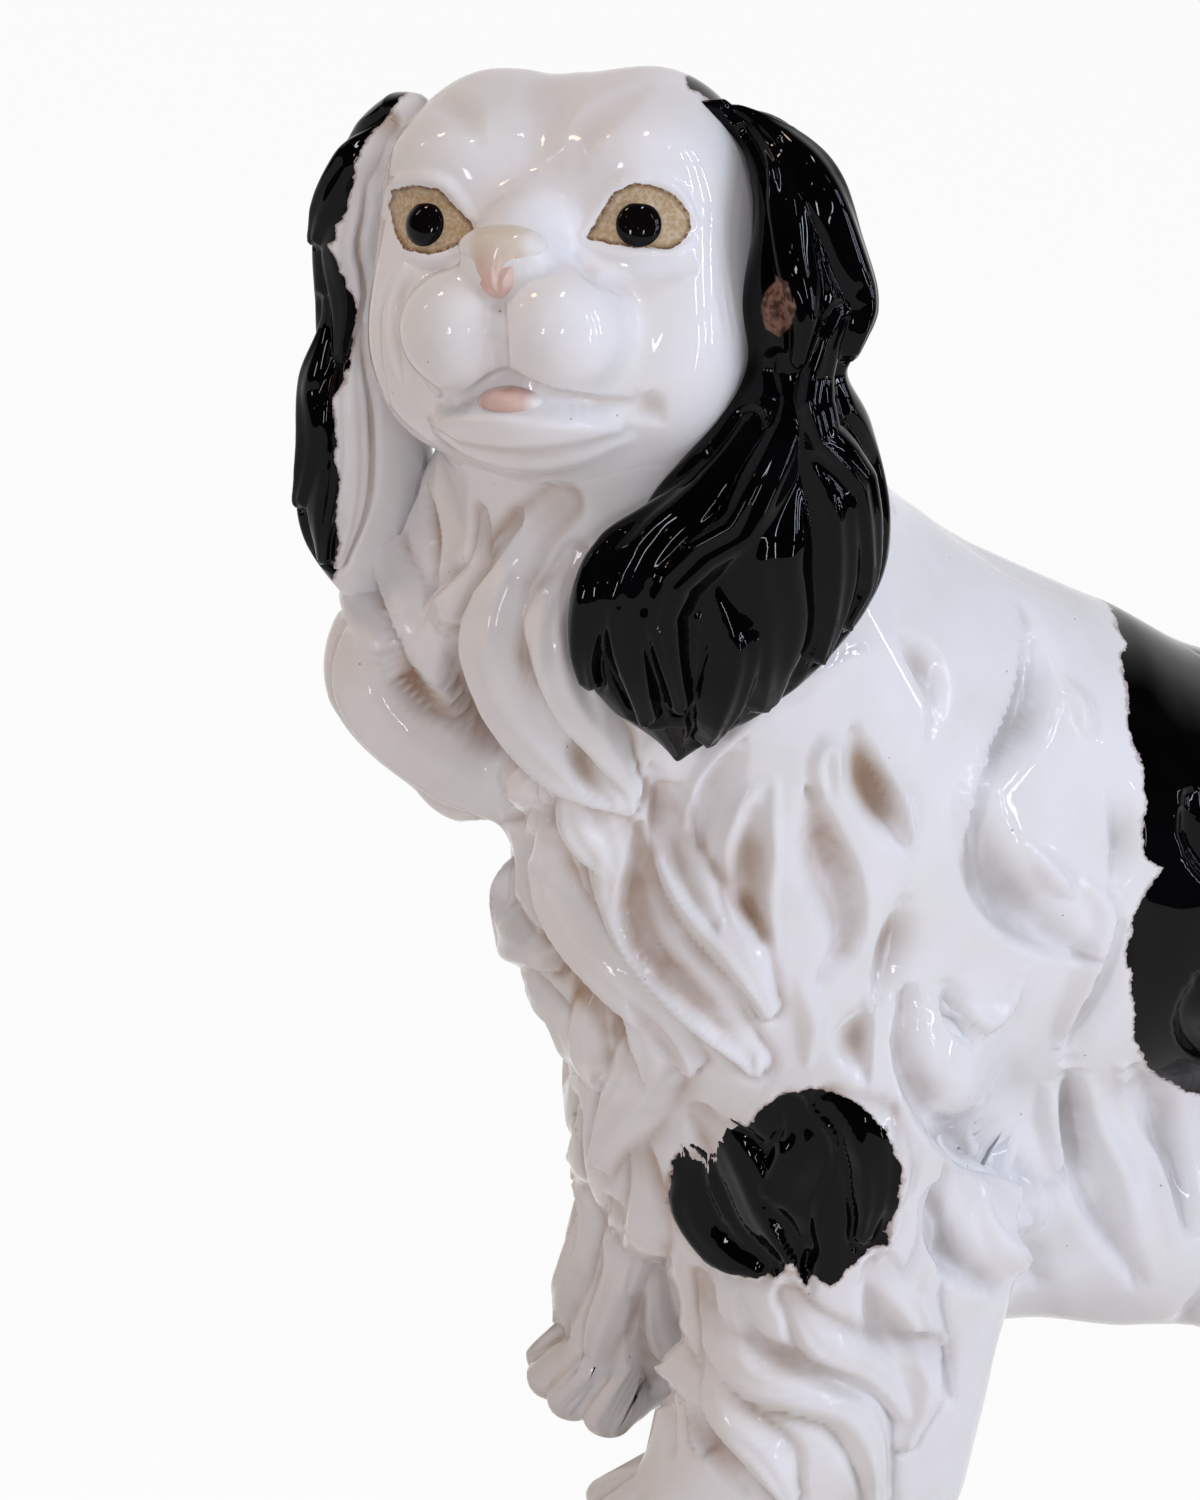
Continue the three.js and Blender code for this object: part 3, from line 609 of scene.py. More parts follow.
LEG_LOCKS = (
    (9, 6, 0.3, ((700, 1285), (708, 1335), (748, 1372), (805, 1388), (850, 1402), (872, 1440), (880, 1500))),
    (8, 5.5, 0.3, ((655, 1270), (660, 1330), (690, 1385), (700, 1440))),
    (8, 5.5, 0.3, ((705, 1350), (722, 1415), (765, 1455), (790, 1500))),
    (9, 6, -0.3, ((880, 1270), (908, 1330), (922, 1385), (905, 1440))),
    (8, 5, 0.3, ((790, 1300), (825, 1345), (875, 1368), (905, 1410))),
    (8, 5, 0.3, ((575, 1180), (580, 1240), (562, 1295), (545, 1335))),
    (8, 5, 0.3, ((615, 1210), (622, 1275), (600, 1335), (590, 1395))),
    (7, 4.5, -0.3, ((930, 1200), (935, 1250), (918, 1300), (940, 1345))),
    (9, 4, 0.3, ((830, 1105), (868, 1130), (882, 1180), (868, 1235))),
    (9, 4, -0.3, ((700, 1120), (735, 1160), (760, 1215), (790, 1262))),
    (8, 4, 0.3, ((690, 1165), (688, 1210), (715, 1250), (755, 1270))),
    (8, 4, 0.3, ((790, 1110), (800, 1150), (780, 1200), (800, 1250))),
)
FLANK_RIDGES = (
    (4.5, 2.9, 0, ((862, 652), (815, 672), (770, 700), (725, 745), (690, 800), (682, 830))),
    (4.2, 2.9, 0, ((772, 782), (752, 790), (735, 825), (728, 880), (735, 915), (746, 938))),
    (4.2, 2.9, 0, ((775, 785), (772, 845), (766, 900), (772, 940), (778, 970))),
    (3.6, 2.3, 0, ((824, 795), (818, 765), (830, 743), (837, 765), (838, 792))),
    (4.5, 3.6, 0, ((884, 766), (896, 790), (905, 820), (915, 845))),
    (5.0, 4.2, 0, ((985, 760), (968, 785), (964, 815), (972, 855), (985, 890), (994, 915))),
    (5.0, 3.4, 0, ((1036, 850), (1052, 875), (1072, 895))),
    (6.5, 4.4, 0, ((1088, 885), (1106, 915), (1092, 960), (1070, 1010), (1062, 1045))),
    (5.0, 3.6, 0, ((960, 1000), (972, 1018), (988, 1022), (1008, 1002), (1022, 972))),
    (5.0, 4.2, 0, ((1048, 1085), (1054, 1130), (1064, 1175))),
    (6.5, 4.7, 0, ((1084, 1078), (1095, 1128), (1124, 1178), (1134, 1212))),
    (6.5, 4.4, 0, ((985, 1188), (988, 1222), (1008, 1250), (1040, 1270))),
    (4.5, 3.4, 0, ((1042, 1192), (1036, 1232))),
    (5.0, 3.1, 0, ((900, 1105), (906, 1165), (895, 1215), (880, 1260))),
    (5.5, 3.9, 0, ((1122, 1065), (1148, 1120), (1165, 1180), (1178, 1240))),
    (5.0, 2.9, 0, ((1066, 683), (1080, 708), (1092, 738))),
    (5.5, 3.4, 0, ((800, 985), (812, 1020), (808, 1060))),
)
VALLEYS = (
    (8, 8, -0.2, ((512, 520), (474, 588), (464, 655), (482, 725), (520, 778), (545, 820))),
    (5.5, 5, 0.3, ((378, 525), (374, 570), (394, 615))),
    (4.5, 5.5, 0.3, ((424, 490), (434, 540), (428, 590))),
    (6, 5.5, 0.3, ((392, 650), (428, 695), (480, 730))),
    (4, 4, 0.3, ((518, 632), (532, 680), (555, 712))),
    (4, 4, 0.3, ((572, 735), (590, 772), (608, 792))),
    (7, 6.5, 0.3, ((645, 830), (640, 900), (660, 955), (715, 1008), (752, 1052))),
    (6, 5, 0.3, ((655, 770), (668, 830), (690, 880), (715, 920))),
    (7, 5.5, -0.3, ((540, 940), (565, 985), (590, 1000), (640, 1075))),
    (5, 4, 0.3, ((640, 1000), (662, 1030), (682, 1062))),
    (7, 3.8, 0.2, ((905, 640), (930, 668), (940, 700), (932, 735))),
    (7.5, 6.2, -0.35, ((852, 735), (862, 775), (880, 812), (900, 845))),
    (10, 7.8, -0.45, ((806, 800), (814, 850), (836, 900), (842, 940), (822, 975))),
    (8, 4.1, 0.0, ((752, 815), (748, 860), (752, 900), (762, 935))),
    (9, 7.0, 0.4, ((1028, 612), (1042, 660), (1034, 715), (1005, 762), (985, 800))),
    (12, 9.2, 0.45, ((988, 790), (985, 830), (1005, 880), (1042, 918), (1082, 950))),
    (10.5, 9.5, 0.4, ((912, 1000), (912, 1045), (932, 1090), (965, 1128), (1010, 1155), (1060, 1185))),
    (9, 8.4, 0.4, ((952, 1160), (944, 1205), (956, 1250), (1000, 1288))),
    (8, 7.6, 0.3, ((1074, 1075), (1078, 1130), (1095, 1185), (1122, 1245), (1140, 1280))),
    (8.5, 7.3, 0.3, ((1135, 1070), (1160, 1115), (1178, 1165), (1190, 1225))),
    (8, 4.9, 0.3, ((1122, 930), (1105, 985), (1082, 1030), (1072, 1060))),
    (7, 4.6, -0.3, ((862, 1005), (850, 1040), (862, 1075))),
    (8, 4.9, 0.3, ((905, 905), (898, 950), (878, 1000))),
    (6, 5.4, 0.2, ((948, 985), (958, 1010), (975, 1040))),
    (7, 4.3, 0.3, ((1118, 790), (1128, 840), (1116, 890))),
    (6, 4.3, 0.3, ((742, 745), (712, 800), (700, 850))),
    (8, 6.8, 0.2, ((1030, 1200), (1024, 1240), (1040, 1280))),
    (5, 4.4, 0.3, ((770, 1200), (798, 1240), (812, 1290))),
    (7, 4.5, 0.3, ((640, 1300), (640, 1350), (668, 1400), (672, 1450))),
    (6, 4.0, 0.3, ((740, 1300), (762, 1350), (830, 1375), (880, 1395))),
    (7, 4.5, -0.3, ((860, 1290), (890, 1340), (930, 1350), (950, 1400))),
    (6, 4.0, 0.3, ((690, 1400), (720, 1450), (745, 1490))),
)
FACE_CREASES = (
    (3, 3.0, 0, ((440, 416), (452, 408), (468, 398), (486, 384), (503, 376), (522, 380), (545, 391),
                 (585, 401), (625, 403), (652, 394))),
    (3, 2.3, 0, ((499, 290), (500, 315), (502, 345), (503, 378))),
    (8, 1.7, 0, ((446, 438), (470, 452), (520, 460), (575, 454), (625, 436))),
    (11, 1.2, 0, ((548, 60), (550, 95), (545, 130), (528, 168))),
    (9, 1.3, 0, ((640, 88), (606, 108), (586, 132), (578, 165))),
    (7, 1.2, 0, ((438, 96), (462, 112), (478, 140))),
    (6, 2.0, 0, ((636, 398), (648, 408), (660, 420))),
    (3.2, 1.5, 0, ((418, 262), (398, 295), (395, 345), (402, 385))),
    (3, 1.2, 0, ((400, 262), (380, 300), (378, 350), (388, 400))),
    (6, 1.6, 0, ((575, 255), (600, 278), (640, 285), (690, 268))),
    (5, 1.5, 0, ((404, 258), (430, 268), (458, 262))),
)
FACE_RIDGES = (
    (3.2, 1.9, 0, ((582, 236), (600, 208), (612, 190), (635, 179), (660, 181), (682, 196), (696, 222))),
    (2.4, 1.1, 0, ((584, 242), (610, 252), (645, 255), (675, 253), (693, 238))),
    (3.2, 1.9, 0, ((384, 214), (390, 190), (415, 179), (442, 183), (460, 200), (478, 226))),
    (2.4, 1.1, 0, ((392, 244), (415, 257), (440, 260), (460, 251), (476, 238))),
    (8.5, 1.5, 0, ((628, 222), (641, 221), (656, 222))),
    (8.5, 1.5, 0, ((410, 221), (421, 221), (436, 224))),
)

hand_locks = drawn(RUFF_LOCKS + CHEST_LOCKS + LEG_LOCKS)
hand_locks += drawn(VALLEYS, "valley") + drawn(FLANK_RIDGES, "ridge")
face_lines = drawn(FACE_CREASES, "crease") + drawn(FACE_RIDGES, "ridge")


def lie_of_hair(points, normals):
    """Which way the hair runs: down and a little back, out from the spine on the back, turned by up to 35
    degrees to and fro by a wave 58 mm long, so that neighbouring locks bend together."""
    x, y, z = np.moveaxis(points, -1, 0)
    side = np.tanh(x / 18)
    pull = np.stack([0.25 * side, 0.3 + 0 * y, -1 + 0 * z], -1)
    over = ramp(normals[..., 2], 0.45, 0.85)[..., None]
    pull = pull * (1 - over) + np.stack([0.8 * side, 0.9 + 0 * y, 0 * z], -1) * over
    flat = unit(pull - dot(pull, normals)[..., None] * normals)
    bend = 0.61 * np.sin(2 * np.pi * (z / 58 + 0.35 * np.sin(y / 37) + 0.3 * np.sin(x / 23)))
    return flat * np.cos(bend)[..., None] + np.cross(normals, flat) * np.sin(bend)[..., None]


# a grown valley: mm from point to point, half width in mm, depth over half width, and lean to either side
STEP, HALF, DEPTH, LEANS = (3.2, 5.6), (5.0, 8.0), (0.55, 0.72), (-0.35, 0.35)


def grown_valleys(seeds, taken, rng):
    """Valleys that part the rest of the coat into locks. Each seed is followed along the lie of the hair,
    back onto the skin at every step, and kept if it lies clear of the strokes that are there: by 2.2 of its
    half widths on average, and by 1.3 where they come nearest. Valleys on top of the back are shallower."""
    step = rng.uniform(*STEP, len(seeds))[:, None]
    lines = [seeds]
    p = seeds
    for _ in range(POINTS_PER_STROKE - 1):
        _, slope = gradient(everywhere, p)
        p = p + step * lie_of_hair(p, unit(slope))
        value, slope = gradient(everywhere, p)
        p = p - (value / dot(slope, slope).clip(0.2))[:, None] * slope
        lines.append(p)
    lines = np.stack(lines, 1)
    _, slopes = gradient(everywhere, lines)
    normals = unit(slopes)
    calm = 1 - 0.8 * ramp(normals[..., 2].mean(1), 0.5, 0.85)
    halves, leans = rng.uniform(*HALF, len(seeds)), rng.choice(LEANS, len(seeds))
    talls = rng.uniform(*DEPTH, len(seeds)) * halves * calm
    there = np.full((len(seeds) * POINTS_PER_STROKE, 3), 1e6, np.float32)
    count = 0
    for stroke in taken:
        there[count:count + POINTS_PER_STROKE] = stroke["route"]
        count += POINTS_PER_STROKE
    made = []
    for line, normal, half, tall, lean in zip(lines, normals, halves, talls, leans):
        near = there[:count]
        near = near[np.abs(near - line[5]).max(1) < 50]
        gap = length(line[1:-2, None].astype(np.float32) - near).min(1) if len(near) else arr(99)
        if np.mean(gap) < 2.2 * half or gap.min() < 1.3 * half or line[:, 2].min() < 12:
            continue
        made.append(route_of(line, normal, half, tall, lean, "valley"))
        there[count:count + POINTS_PER_STROKE] = line
        count += POINTS_PER_STROKE
    return made


PAW_TOP, FACE_MARGIN = 40, 12  # mm: the paws and a belt round the head stay smooth
# none is grown where the photograph shows the coat, up to so many pixels from its right side and so steep a
# slope to the sight line, because there the strokes are drawn
EDGE, GLANCING = 10, 0.12
rng = np.random.default_rng(11)
SEEDS = {"torso": 1500, "neck": 700, "left_foreleg": 350, "right_foreleg": 350, "left_hindleg": 400,
         "right_hindleg": 400, "tail": 250}
seeds = []
for name, count in SEEDS.items():
    points = skins[name][2:-2].reshape(-1, 3)
    own = FORMS[name](points)
    others = np.min([FORMS[other](points) for other in NEIGHBOURS[name] if other != name], axis=0)
    points = points[(own < others) & (points[:, 2] > PAW_TOP)]
    points = points[FORMS["head"](points) > FACE_MARGIN]
    _, slope = gradient(everywhere, points)
    in_view = (to_pixels(points)[:, 0] < PHOTO[0] - EDGE) & (unit(slope) @ BACK > GLANCING)
    points = points[~in_view]
    seeds.append(points[rng.integers(0, len(points), count)])
coat = hand_locks + grown_valleys(np.concatenate(seeds), hand_locks, rng)


# Ears: a leaf-shaped flap. Stations: left, back and up from the head's middle, half width, half thickness
LEFT_EAR = arr((15, 22, 48, 4, 5), (27, 36, 44, 7, 8), (37, 41, 34, 10, 13), (43, 42, 23, 12, 15),
               (47, 44, 5, 17, 16), (47, 44, -11, 13, 15), (50, 44, -25, 21, 15), (52, 39, -48, 34, 15),
               (51, 32, -69, 41, 15), (50, 28, -91, 32, 13), (47, 28, -118, 4, 5))
RIGHT_EAR = arr((-43, -25, 34, 7, 5), (-55, -25, 18, 14, 9), (-62, -24, -6, 19, 10), (-62, -22, -31, 17, 9),
                (-61, -18, -61, 21, 12), (-60, -14, -89, 23, 11), (-57, -8, -116, 5, 4))
LEFT_SPREAD, RIGHT_SPREAD = unit(arr(0.19, 0.97, 0.05)), unit(arr(-0.3, 0.94, 0))


def flap(stations, spread, sides, rings):
    """Ovals along a line: at t the oval is as wide and thick as the stations say, it lies square to the
    line, and over the last part of each end it closes as 2.2 sin(pi t)."""
    polar = np.pi * np.arange(rings + 1) / rings
    t = (1 - np.cos(polar)) / 2
    dense = smooth_line(stations, 1200)
    at = np.stack([np.interp(t, np.linspace(0, 1, len(dense)), dense[:, k]) for k in range(5)], -1)
    line = HEAD_AT + at[:, :3]
    along = unit(np.gradient(line, t + 1e-6 * np.arange(len(t)), axis=0))
    thick = unit(np.cross(along, spread))
    close = np.minimum(1, 2.2 * np.sin(polar))[:, None, None]
    around = 2 * np.pi * np.arange(sides)[None] / sides
    out = np.cos(around)[..., None] * at[:, 3, None, None] * spread
    off = np.sin(around)[..., None] * at[:, 4, None, None] * thick[:, None]
    return line[:, None] + (out + off) * close


def tree_of(rows):
    """The quads of a grid as a tree that lines can be cast at."""
    count, sides = rows.shape[:2]
    return BVHTree.FromPolygons(rows.reshape(-1, 3).tolist(), quads_between(count, sides).tolist())


# half width mm, height mm, lean and pixels, as above
NEAR_EAR_LOCKS = (
    (8, 5, -0.2, ((745, 105), (790, 135), (828, 190), (852, 250), (866, 305), (852, 350))),
    (6.5, 4.5, 0.2, ((750, 130), (775, 165), (786, 215), (794, 265), (806, 315), (800, 360))),
    (7, 6, 0.25, ((868, 305), (842, 325), (830, 355), (820, 390), (824, 432), (848, 458), (866, 490),
                  (868, 540), (868, 580), (848, 620))),
    (8, 6, -0.2, ((868, 352), (884, 400), (886, 440), (890, 485), (897, 530), (890, 575), (866, 628))),
    (8, 6, 0.2, ((806, 410), (820, 455), (838, 495), (842, 565), (832, 620), (812, 680))),
    (8, 6, 0.25, ((782, 370), (797, 402), (786, 445), (762, 492), (742, 532), (700, 558), (668, 594),
                  (664, 640), (682, 690), (668, 765))),
    (8, 6, 0.2, ((745, 425), (702, 500), (660, 542), (630, 592), (630, 645), (648, 715))),
    (8, 6, -0.2, ((700, 470), (642, 522), (602, 558), (585, 612), (583, 662), (602, 704), (634, 738))),
    (13, 5, 0.1, ((795, 460), (780, 515), (772, 570), (780, 625), (768, 700))),
    (8, 6, -0.2, ((716, 585), (734, 640), (726, 690), (698, 755))),
)
FAR_EAR_LOCKS = (
    (7, 4.5, 0.3, ((385, 125), (350, 165), (325, 210), (310, 260), (312, 300))),
    (6, 4, -0.3, ((365, 150), (345, 200), (335, 250), (345, 300), (340, 350))),
    (7, 4.5, 0.3, ((320, 310), (306, 350), (310, 400), (312, 450), (300, 500))),
    (6, 4, -0.3, ((340, 340), (325, 400), (325, 460), (318, 520), (322, 580))),
    (6, 4, -0.3, ((355, 330), (350, 400), (352, 470), (345, 530), (330, 580))),
)
ears = {"left_ear": (flap(LEFT_EAR, LEFT_SPREAD, 280 // COARSER, 300 // COARSER), NEAR_EAR_LOCKS),
        "right_ear": (flap(RIGHT_EAR, RIGHT_SPREAD, 220 // COARSER, 260 // COARSER), FAR_EAR_LOCKS)}


# Marks in the glaze, as outlines in the photograph's pixels
def inside(points, outline):
    """Signed distance to the outline as the camera sees it, plus inside, in mm at the statue's range."""
    flat = to_pixels(points).reshape(-1, 2)
    corner = np.asarray(outline, float)
    step = np.roll(corner, -1, axis=0) - corner
    nearest, odd = np.full(len(flat), 1e9), np.zeros(len(flat), bool)
    for a, d in zip(corner, step):
        off = flat - a
        t = np.clip(off @ d / (d @ d), 0, 1)
        nearest = np.minimum(nearest, length(off - t[:, None] * d))
        crosses = (a[1] > flat[:, 1]) != (a[1] + d[1] > flat[:, 1])
        odd ^= crosses & (off[:, 0] < d[0] * off[:, 1] / (d[1] + 1e-9))
    return (np.where(odd, nearest, -nearest) / PIXELS_PER_MM).reshape(points.shape[:-1])


SHOULDER_SPOT = ((683, 1139), (700, 1115), (724, 1107), (735, 1122), (745, 1128), (755, 1120), (765, 1103),
                 (785, 1097), (812, 1088), (850, 1100), (885, 1130), (900, 1165), (893, 1200), (885, 1240),
                 (862, 1258), (830, 1287), (815, 1276), (806, 1286), (790, 1262), (775, 1277), (742, 1278),
                 (712, 1263), (690, 1245), (672, 1220), (665, 1205), (668, 1175))
SADDLE = ((1090, 520), (1108, 603), (1127, 645), (1120, 655), (1128, 690), (1130, 730), (1142, 765),
          (1145, 800), (1143, 855), (1158, 868), (1178, 866), (1260, 880), (1340, 850), (1420, 880),
          (1520, 840), (1640, 860), (1760, 900), (1820, 700), (1700, 420))
FLANK_PATCH = ((1160, 870), (1140, 900), (1128, 940), (1135, 1000), (1135, 1040), (1150, 1070), (1180, 1088),
               (1200, 1095), (1260, 1120), (1330, 1100), (1370, 1040), (1390, 960), (1370, 890), (1330, 860),
               (1260, 872), (1190, 862))
FAR_EAR_BLACK = ((410, 90), (368, 135), (352, 180), (345, 210), (330, 245), (340, 270), (352, 300),
                 (355, 330), (345, 380), (333, 400), (335, 440), (338, 480), (335, 530), (338, 550),
                 (335, 575), (325, 598), (300, 640), (240, 600), (240, 200), (330, 90))
EAR_ROOT_BLACK = ((688, 70), (690, 88), (745, 125), (758, 150), (765, 190), (780, 240), (783, 255),
                  (770, 280), (760, 300), (765, 335), (785, 360), (780, 375), (752, 385), (742, 430),
                  (720, 450), (705, 470), (700, 520), (960, 520), (960, 60))
UNGLAZED = ((765, 290), (775, 275), (790, 282), (797, 305), (793, 325), (780, 338), (765, 330), (760, 310))
FAR_EYE = ((388, 205), (395, 190), (415, 184), (440, 188), (455, 205), (470, 220), (476, 230), (468, 240),
           (450, 250), (430, 255), (405, 250), (395, 235))
NEAR_EYE = ((585, 238), (600, 215), (615, 192), (635, 182), (655, 185), (675, 195), (688, 212), (692, 228),
            (685, 240), (670, 250), (640, 248), (610, 245))


LIMIT = 9.0  # mm from the edge of a mark, past which nothing changes
# mm to the side, where the right ear's outer face, the left ear's root and the shoulder spot begin
EAR_EDGE, EAR_ROOT, SPOT_EDGE = 63, 10, 12
TAIL_TIP = 108  # mm over the ground, below which the tail is white
# mm: the right side's patches lie so much nearer to the front and lower than the left's, from 45 mm out
FORWARD, LOWER, TURNING = 14, 6, 45


def black_patches(name, points):
    """Where the black glaze is: mm inside its edge, less than 0 outside. A point on the right side takes what
    the left side has at its mirror image, FORWARD further back and LOWER further up."""
    if name == "left_ear":
        return np.full(points.shape[:-1], LIMIT)
    if name == "right_ear":
        outer_face = -EAR_EDGE - (points - HEAD_AT)[..., 0]
        return np.maximum(inside(points, FAR_EAR_BLACK), outer_face)
    if name == "neck":
        return np.full(points.shape[:-1], -LIMIT)
    if name == "head":
        return np.where((points - HEAD_AT) @ ACROSS > EAR_ROOT, inside(points, EAR_ROOT_BLACK), -LIMIT)
    if name == "tail":
        return points[..., 2] - TAIL_TIP
    mirrored = points.copy()
    other_side = ramp(-points[..., 0], 0, TURNING)
    mirrored[..., 0] = np.abs(points[..., 0])
    mirrored[..., 1] += FORWARD * other_side
    mirrored[..., 2] += LOWER * other_side
    patches = np.maximum(inside(mirrored, SADDLE), inside(mirrored, FLANK_PATCH))
    spot = np.where(points[..., 0] > SPOT_EDGE, inside(points, SHOULDER_SPOT), -LIMIT)
    return np.maximum(patches, spot)


# Skins get their hair and their marks
def glazed(name, rows, strokes, node):
    """The skin moved out along its normals by the height of its hair, with its marks, in place of a node of
    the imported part. A mark that is drawn in the photograph counts only on the side that faces the camera."""
    normals = grid_normals(rows)
    height, hollow = relief(rows, strokes)
    eyelid = bare = np.full(rows.shape[:2], -LIMIT)
    if name == "head":
        eyes = np.maximum(inside(rows, FAR_EYE), inside(rows, NEAR_EYE)).clip(-LIMIT, LIMIT)
        eyelid = np.where((rows - HEAD_AT) @ FACING > 0, eyes, eyelid)
    if name == "left_ear":
        bare = np.where(normals @ BACK > 0, inside(rows, UNGLAZED).clip(-LIMIT, LIMIT), bare)
    black = black_patches(name, rows).clip(-LIMIT, LIMIT)
    # the hollow mark is what the glaze darkens as painted shade
    piece = closed_mesh("glazed_" + name, rows + height[..., None] * normals,
                        hollow=hollow, black=black, eyelid=eyelid, bare=bare)
    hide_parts(node)
    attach(piece, "root")
    return piece


pieces = {}
for name, rows in skins.items():
    pieces[name] = glazed(name, rows, coat + face_lines, "neck_and_ruff" if name == "neck" else name)
for name, (rows, locks) in ears.items():
    pieces[name] = glazed(name, rows, drawn_on(tree_of(rows), locks), name)


# Eyes, nose and tongue
def lathe(profile, sides):
    """A profile of (radius, height) turned round the height."""
    angle = 2 * np.pi * np.arange(sides) / sides
    r, h = profile[:, 0, None], profile[:, 1, None]
    return np.stack([r * np.cos(angle), r * np.sin(angle), h + 0 * angle], -1)


IRIS_RADIUS, DOME, SEAT = 5.7, 2.6, 3.0  # mm: half width, height over the skin and depth in it
EYE_OUT, EYE_UP, EYE_FORWARD, EYES_LEFT = 31, 9.8, 28, 0.8  # on the head; both sit a little to the left
# from the crown of the drop: a quarter of an ellipse, the straight side in the seat, and the flat back
quarter = np.linspace(0, np.pi / 2, 24)[::-1]
iris_profile = np.concatenate([
    np.stack([IRIS_RADIUS * np.cos(quarter), DOME * np.sin(quarter)], -1),
    np.stack([np.full(6, IRIS_RADIUS), np.linspace(-0.3, -SEAT, 6)], -1),
    arr((IRIS_RADIUS * 0.5, -SEAT), (0, -SEAT))])
for side, name in ((1, "left_eye"), (-1, "right_eye")):
    toward = unit(on_head(side * EYE_OUT + EYES_LEFT, EYE_UP, EYE_FORWARD) - HEAD_AT)
    spot = leaving(section_form("head"), HEAD_AT, toward)
    _, slope = gradient(everywhere, spot)
    out = unit(slope)
    wide = unit(np.cross(UP, out))
    rows = spot + lathe(iris_profile, 96) @ np.stack([wide, np.cross(out, wide), out])
    eye = closed_mesh("iris_" + name, rows)
    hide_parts(name)
    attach(eye, "root")
    pieces[name] = eye

nose_form = run_together([
    head_swelling(0, 1.5, 43, 11.5, 5.5, 8),
    head_swelling(0, -5, 43.5, 5.5, 6.5, 7),
], NOSE_BLEND)
# how far forward the lips are, where the tongue lies between them
LIPS = (leaving(section_form("head"), on_head(0, -37, 20), FACING) - HEAD_AT) @ FACING
tongue_form = head_swelling(1.4, -36.4, LIPS - 5.6, 9.3, 4.5, 10)
# piece: its form and a line inside it (low, high)
SPRIGS = {"nose": (nose_form, on_head(0, -3, 45.5), on_head(0, -1, 45.5)),
          "tongue": (tongue_form, on_head(-3, -36, LIPS - 5), on_head(6.6, -36, LIPS - 5))}
NOSE_CREASES = (
    (1.6, 1.3, 0, ((466, 256), (473, 273), (486, 288), (500, 296))),
    (1.6, 1.3, 0, ((514, 260), (504, 268), (499, 276), (497, 288))),
    (1.4, 0.7, 0, ((495, 268), (497, 280), (499, 294))),
)
for name, (form, low, high) in SPRIGS.items():
    rows = solve(form, *ray_grid(low, high, 160, 100, FACING, 0.3))
    creases = drawn_on(tree_of(rows), NOSE_CREASES, "crease") if name == "nose" else []
    height, hollow = relief(rows, creases)
    up, out = (rows - HEAD_AT) @ TOP, (rows - HEAD_AT) @ ACROSS
    pink = np.clip(hollow + ramp(-up, -1, 6), 0, 1)  # in the creases and on the lower half
    blank = ramp(np.abs(out - 1), 5, 8.5)  # out to both ends
    skin = rows + height[..., None] * grid_normals(rows)
    sprig = closed_mesh("bisque_" + name, skin, pink=pink, blank=blank)
    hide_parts(name)
    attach(sprig, "root")
    pieces[name] = sprig


# Materials
def colour(hex_code):
    """sRGB hex to linear: c/12.92 up to 0.04045, then ((c + 0.055)/1.055)^2.4."""
    c = np.array([int(hex_code[k:k + 2], 16) / 255 for k in (1, 3, 5)])
    return (*np.where(c <= 0.04045, c / 12.92, ((c + 0.055) / 1.055) ** 2.4), 1.0)


def add(tree, kind, inputs=None, give=0, **settings):
    """One node with its settings. Each input is a value, or the output that it is linked to. It gives back
    one of the node's outputs, or the node itself where give is None."""
    node = tree.nodes.new(kind)
    for key, value in settings.items():
        setattr(node, key, value)
    for socket, value in (inputs or {}).items():
        if isinstance(value, bpy.types.NodeSocket):
            tree.links.new(value, node.inputs[socket])
        else:
            node.inputs[socket].default_value = value
    return node if give is None else node.outputs[give]


RGBA = {"give": 2, "data_type": "RGBA"}  # of a node that mixes two colours


def new_material(name):
    """A material with an empty node tree, and that tree."""
    material = bpy.data.materials.new(name)
    material.use_nodes = True
    tree = material.node_tree
    tree.nodes.clear()
    return material, tree


def per_mm(size):
    """Noise scale for features of that many millimetres, on Object coordinates in metres."""
    return 1 / (size * METRES)


def clear_glaze(tree, base, bump, roughness, cover=1.0):
    """Lead glaze over the colour: a sharp clear coat on a softer body. Such a glaze has an IOR of about 1.6.
    The coat's is lower, matched to how faintly the white parts mirror the room in the photograph."""
    shader = add(tree, "ShaderNodeBsdfPrincipled", {
        "Base Color": base, "Roughness": roughness, "IOR": 1.5, "Specular IOR Level": 0.0, "Normal": bump,
        "Coat Weight": cover, "Coat Roughness": 0.03, "Coat IOR": 1.24})
    add(tree, "ShaderNodeOutputMaterial", {"Surface": shader}, give=None)


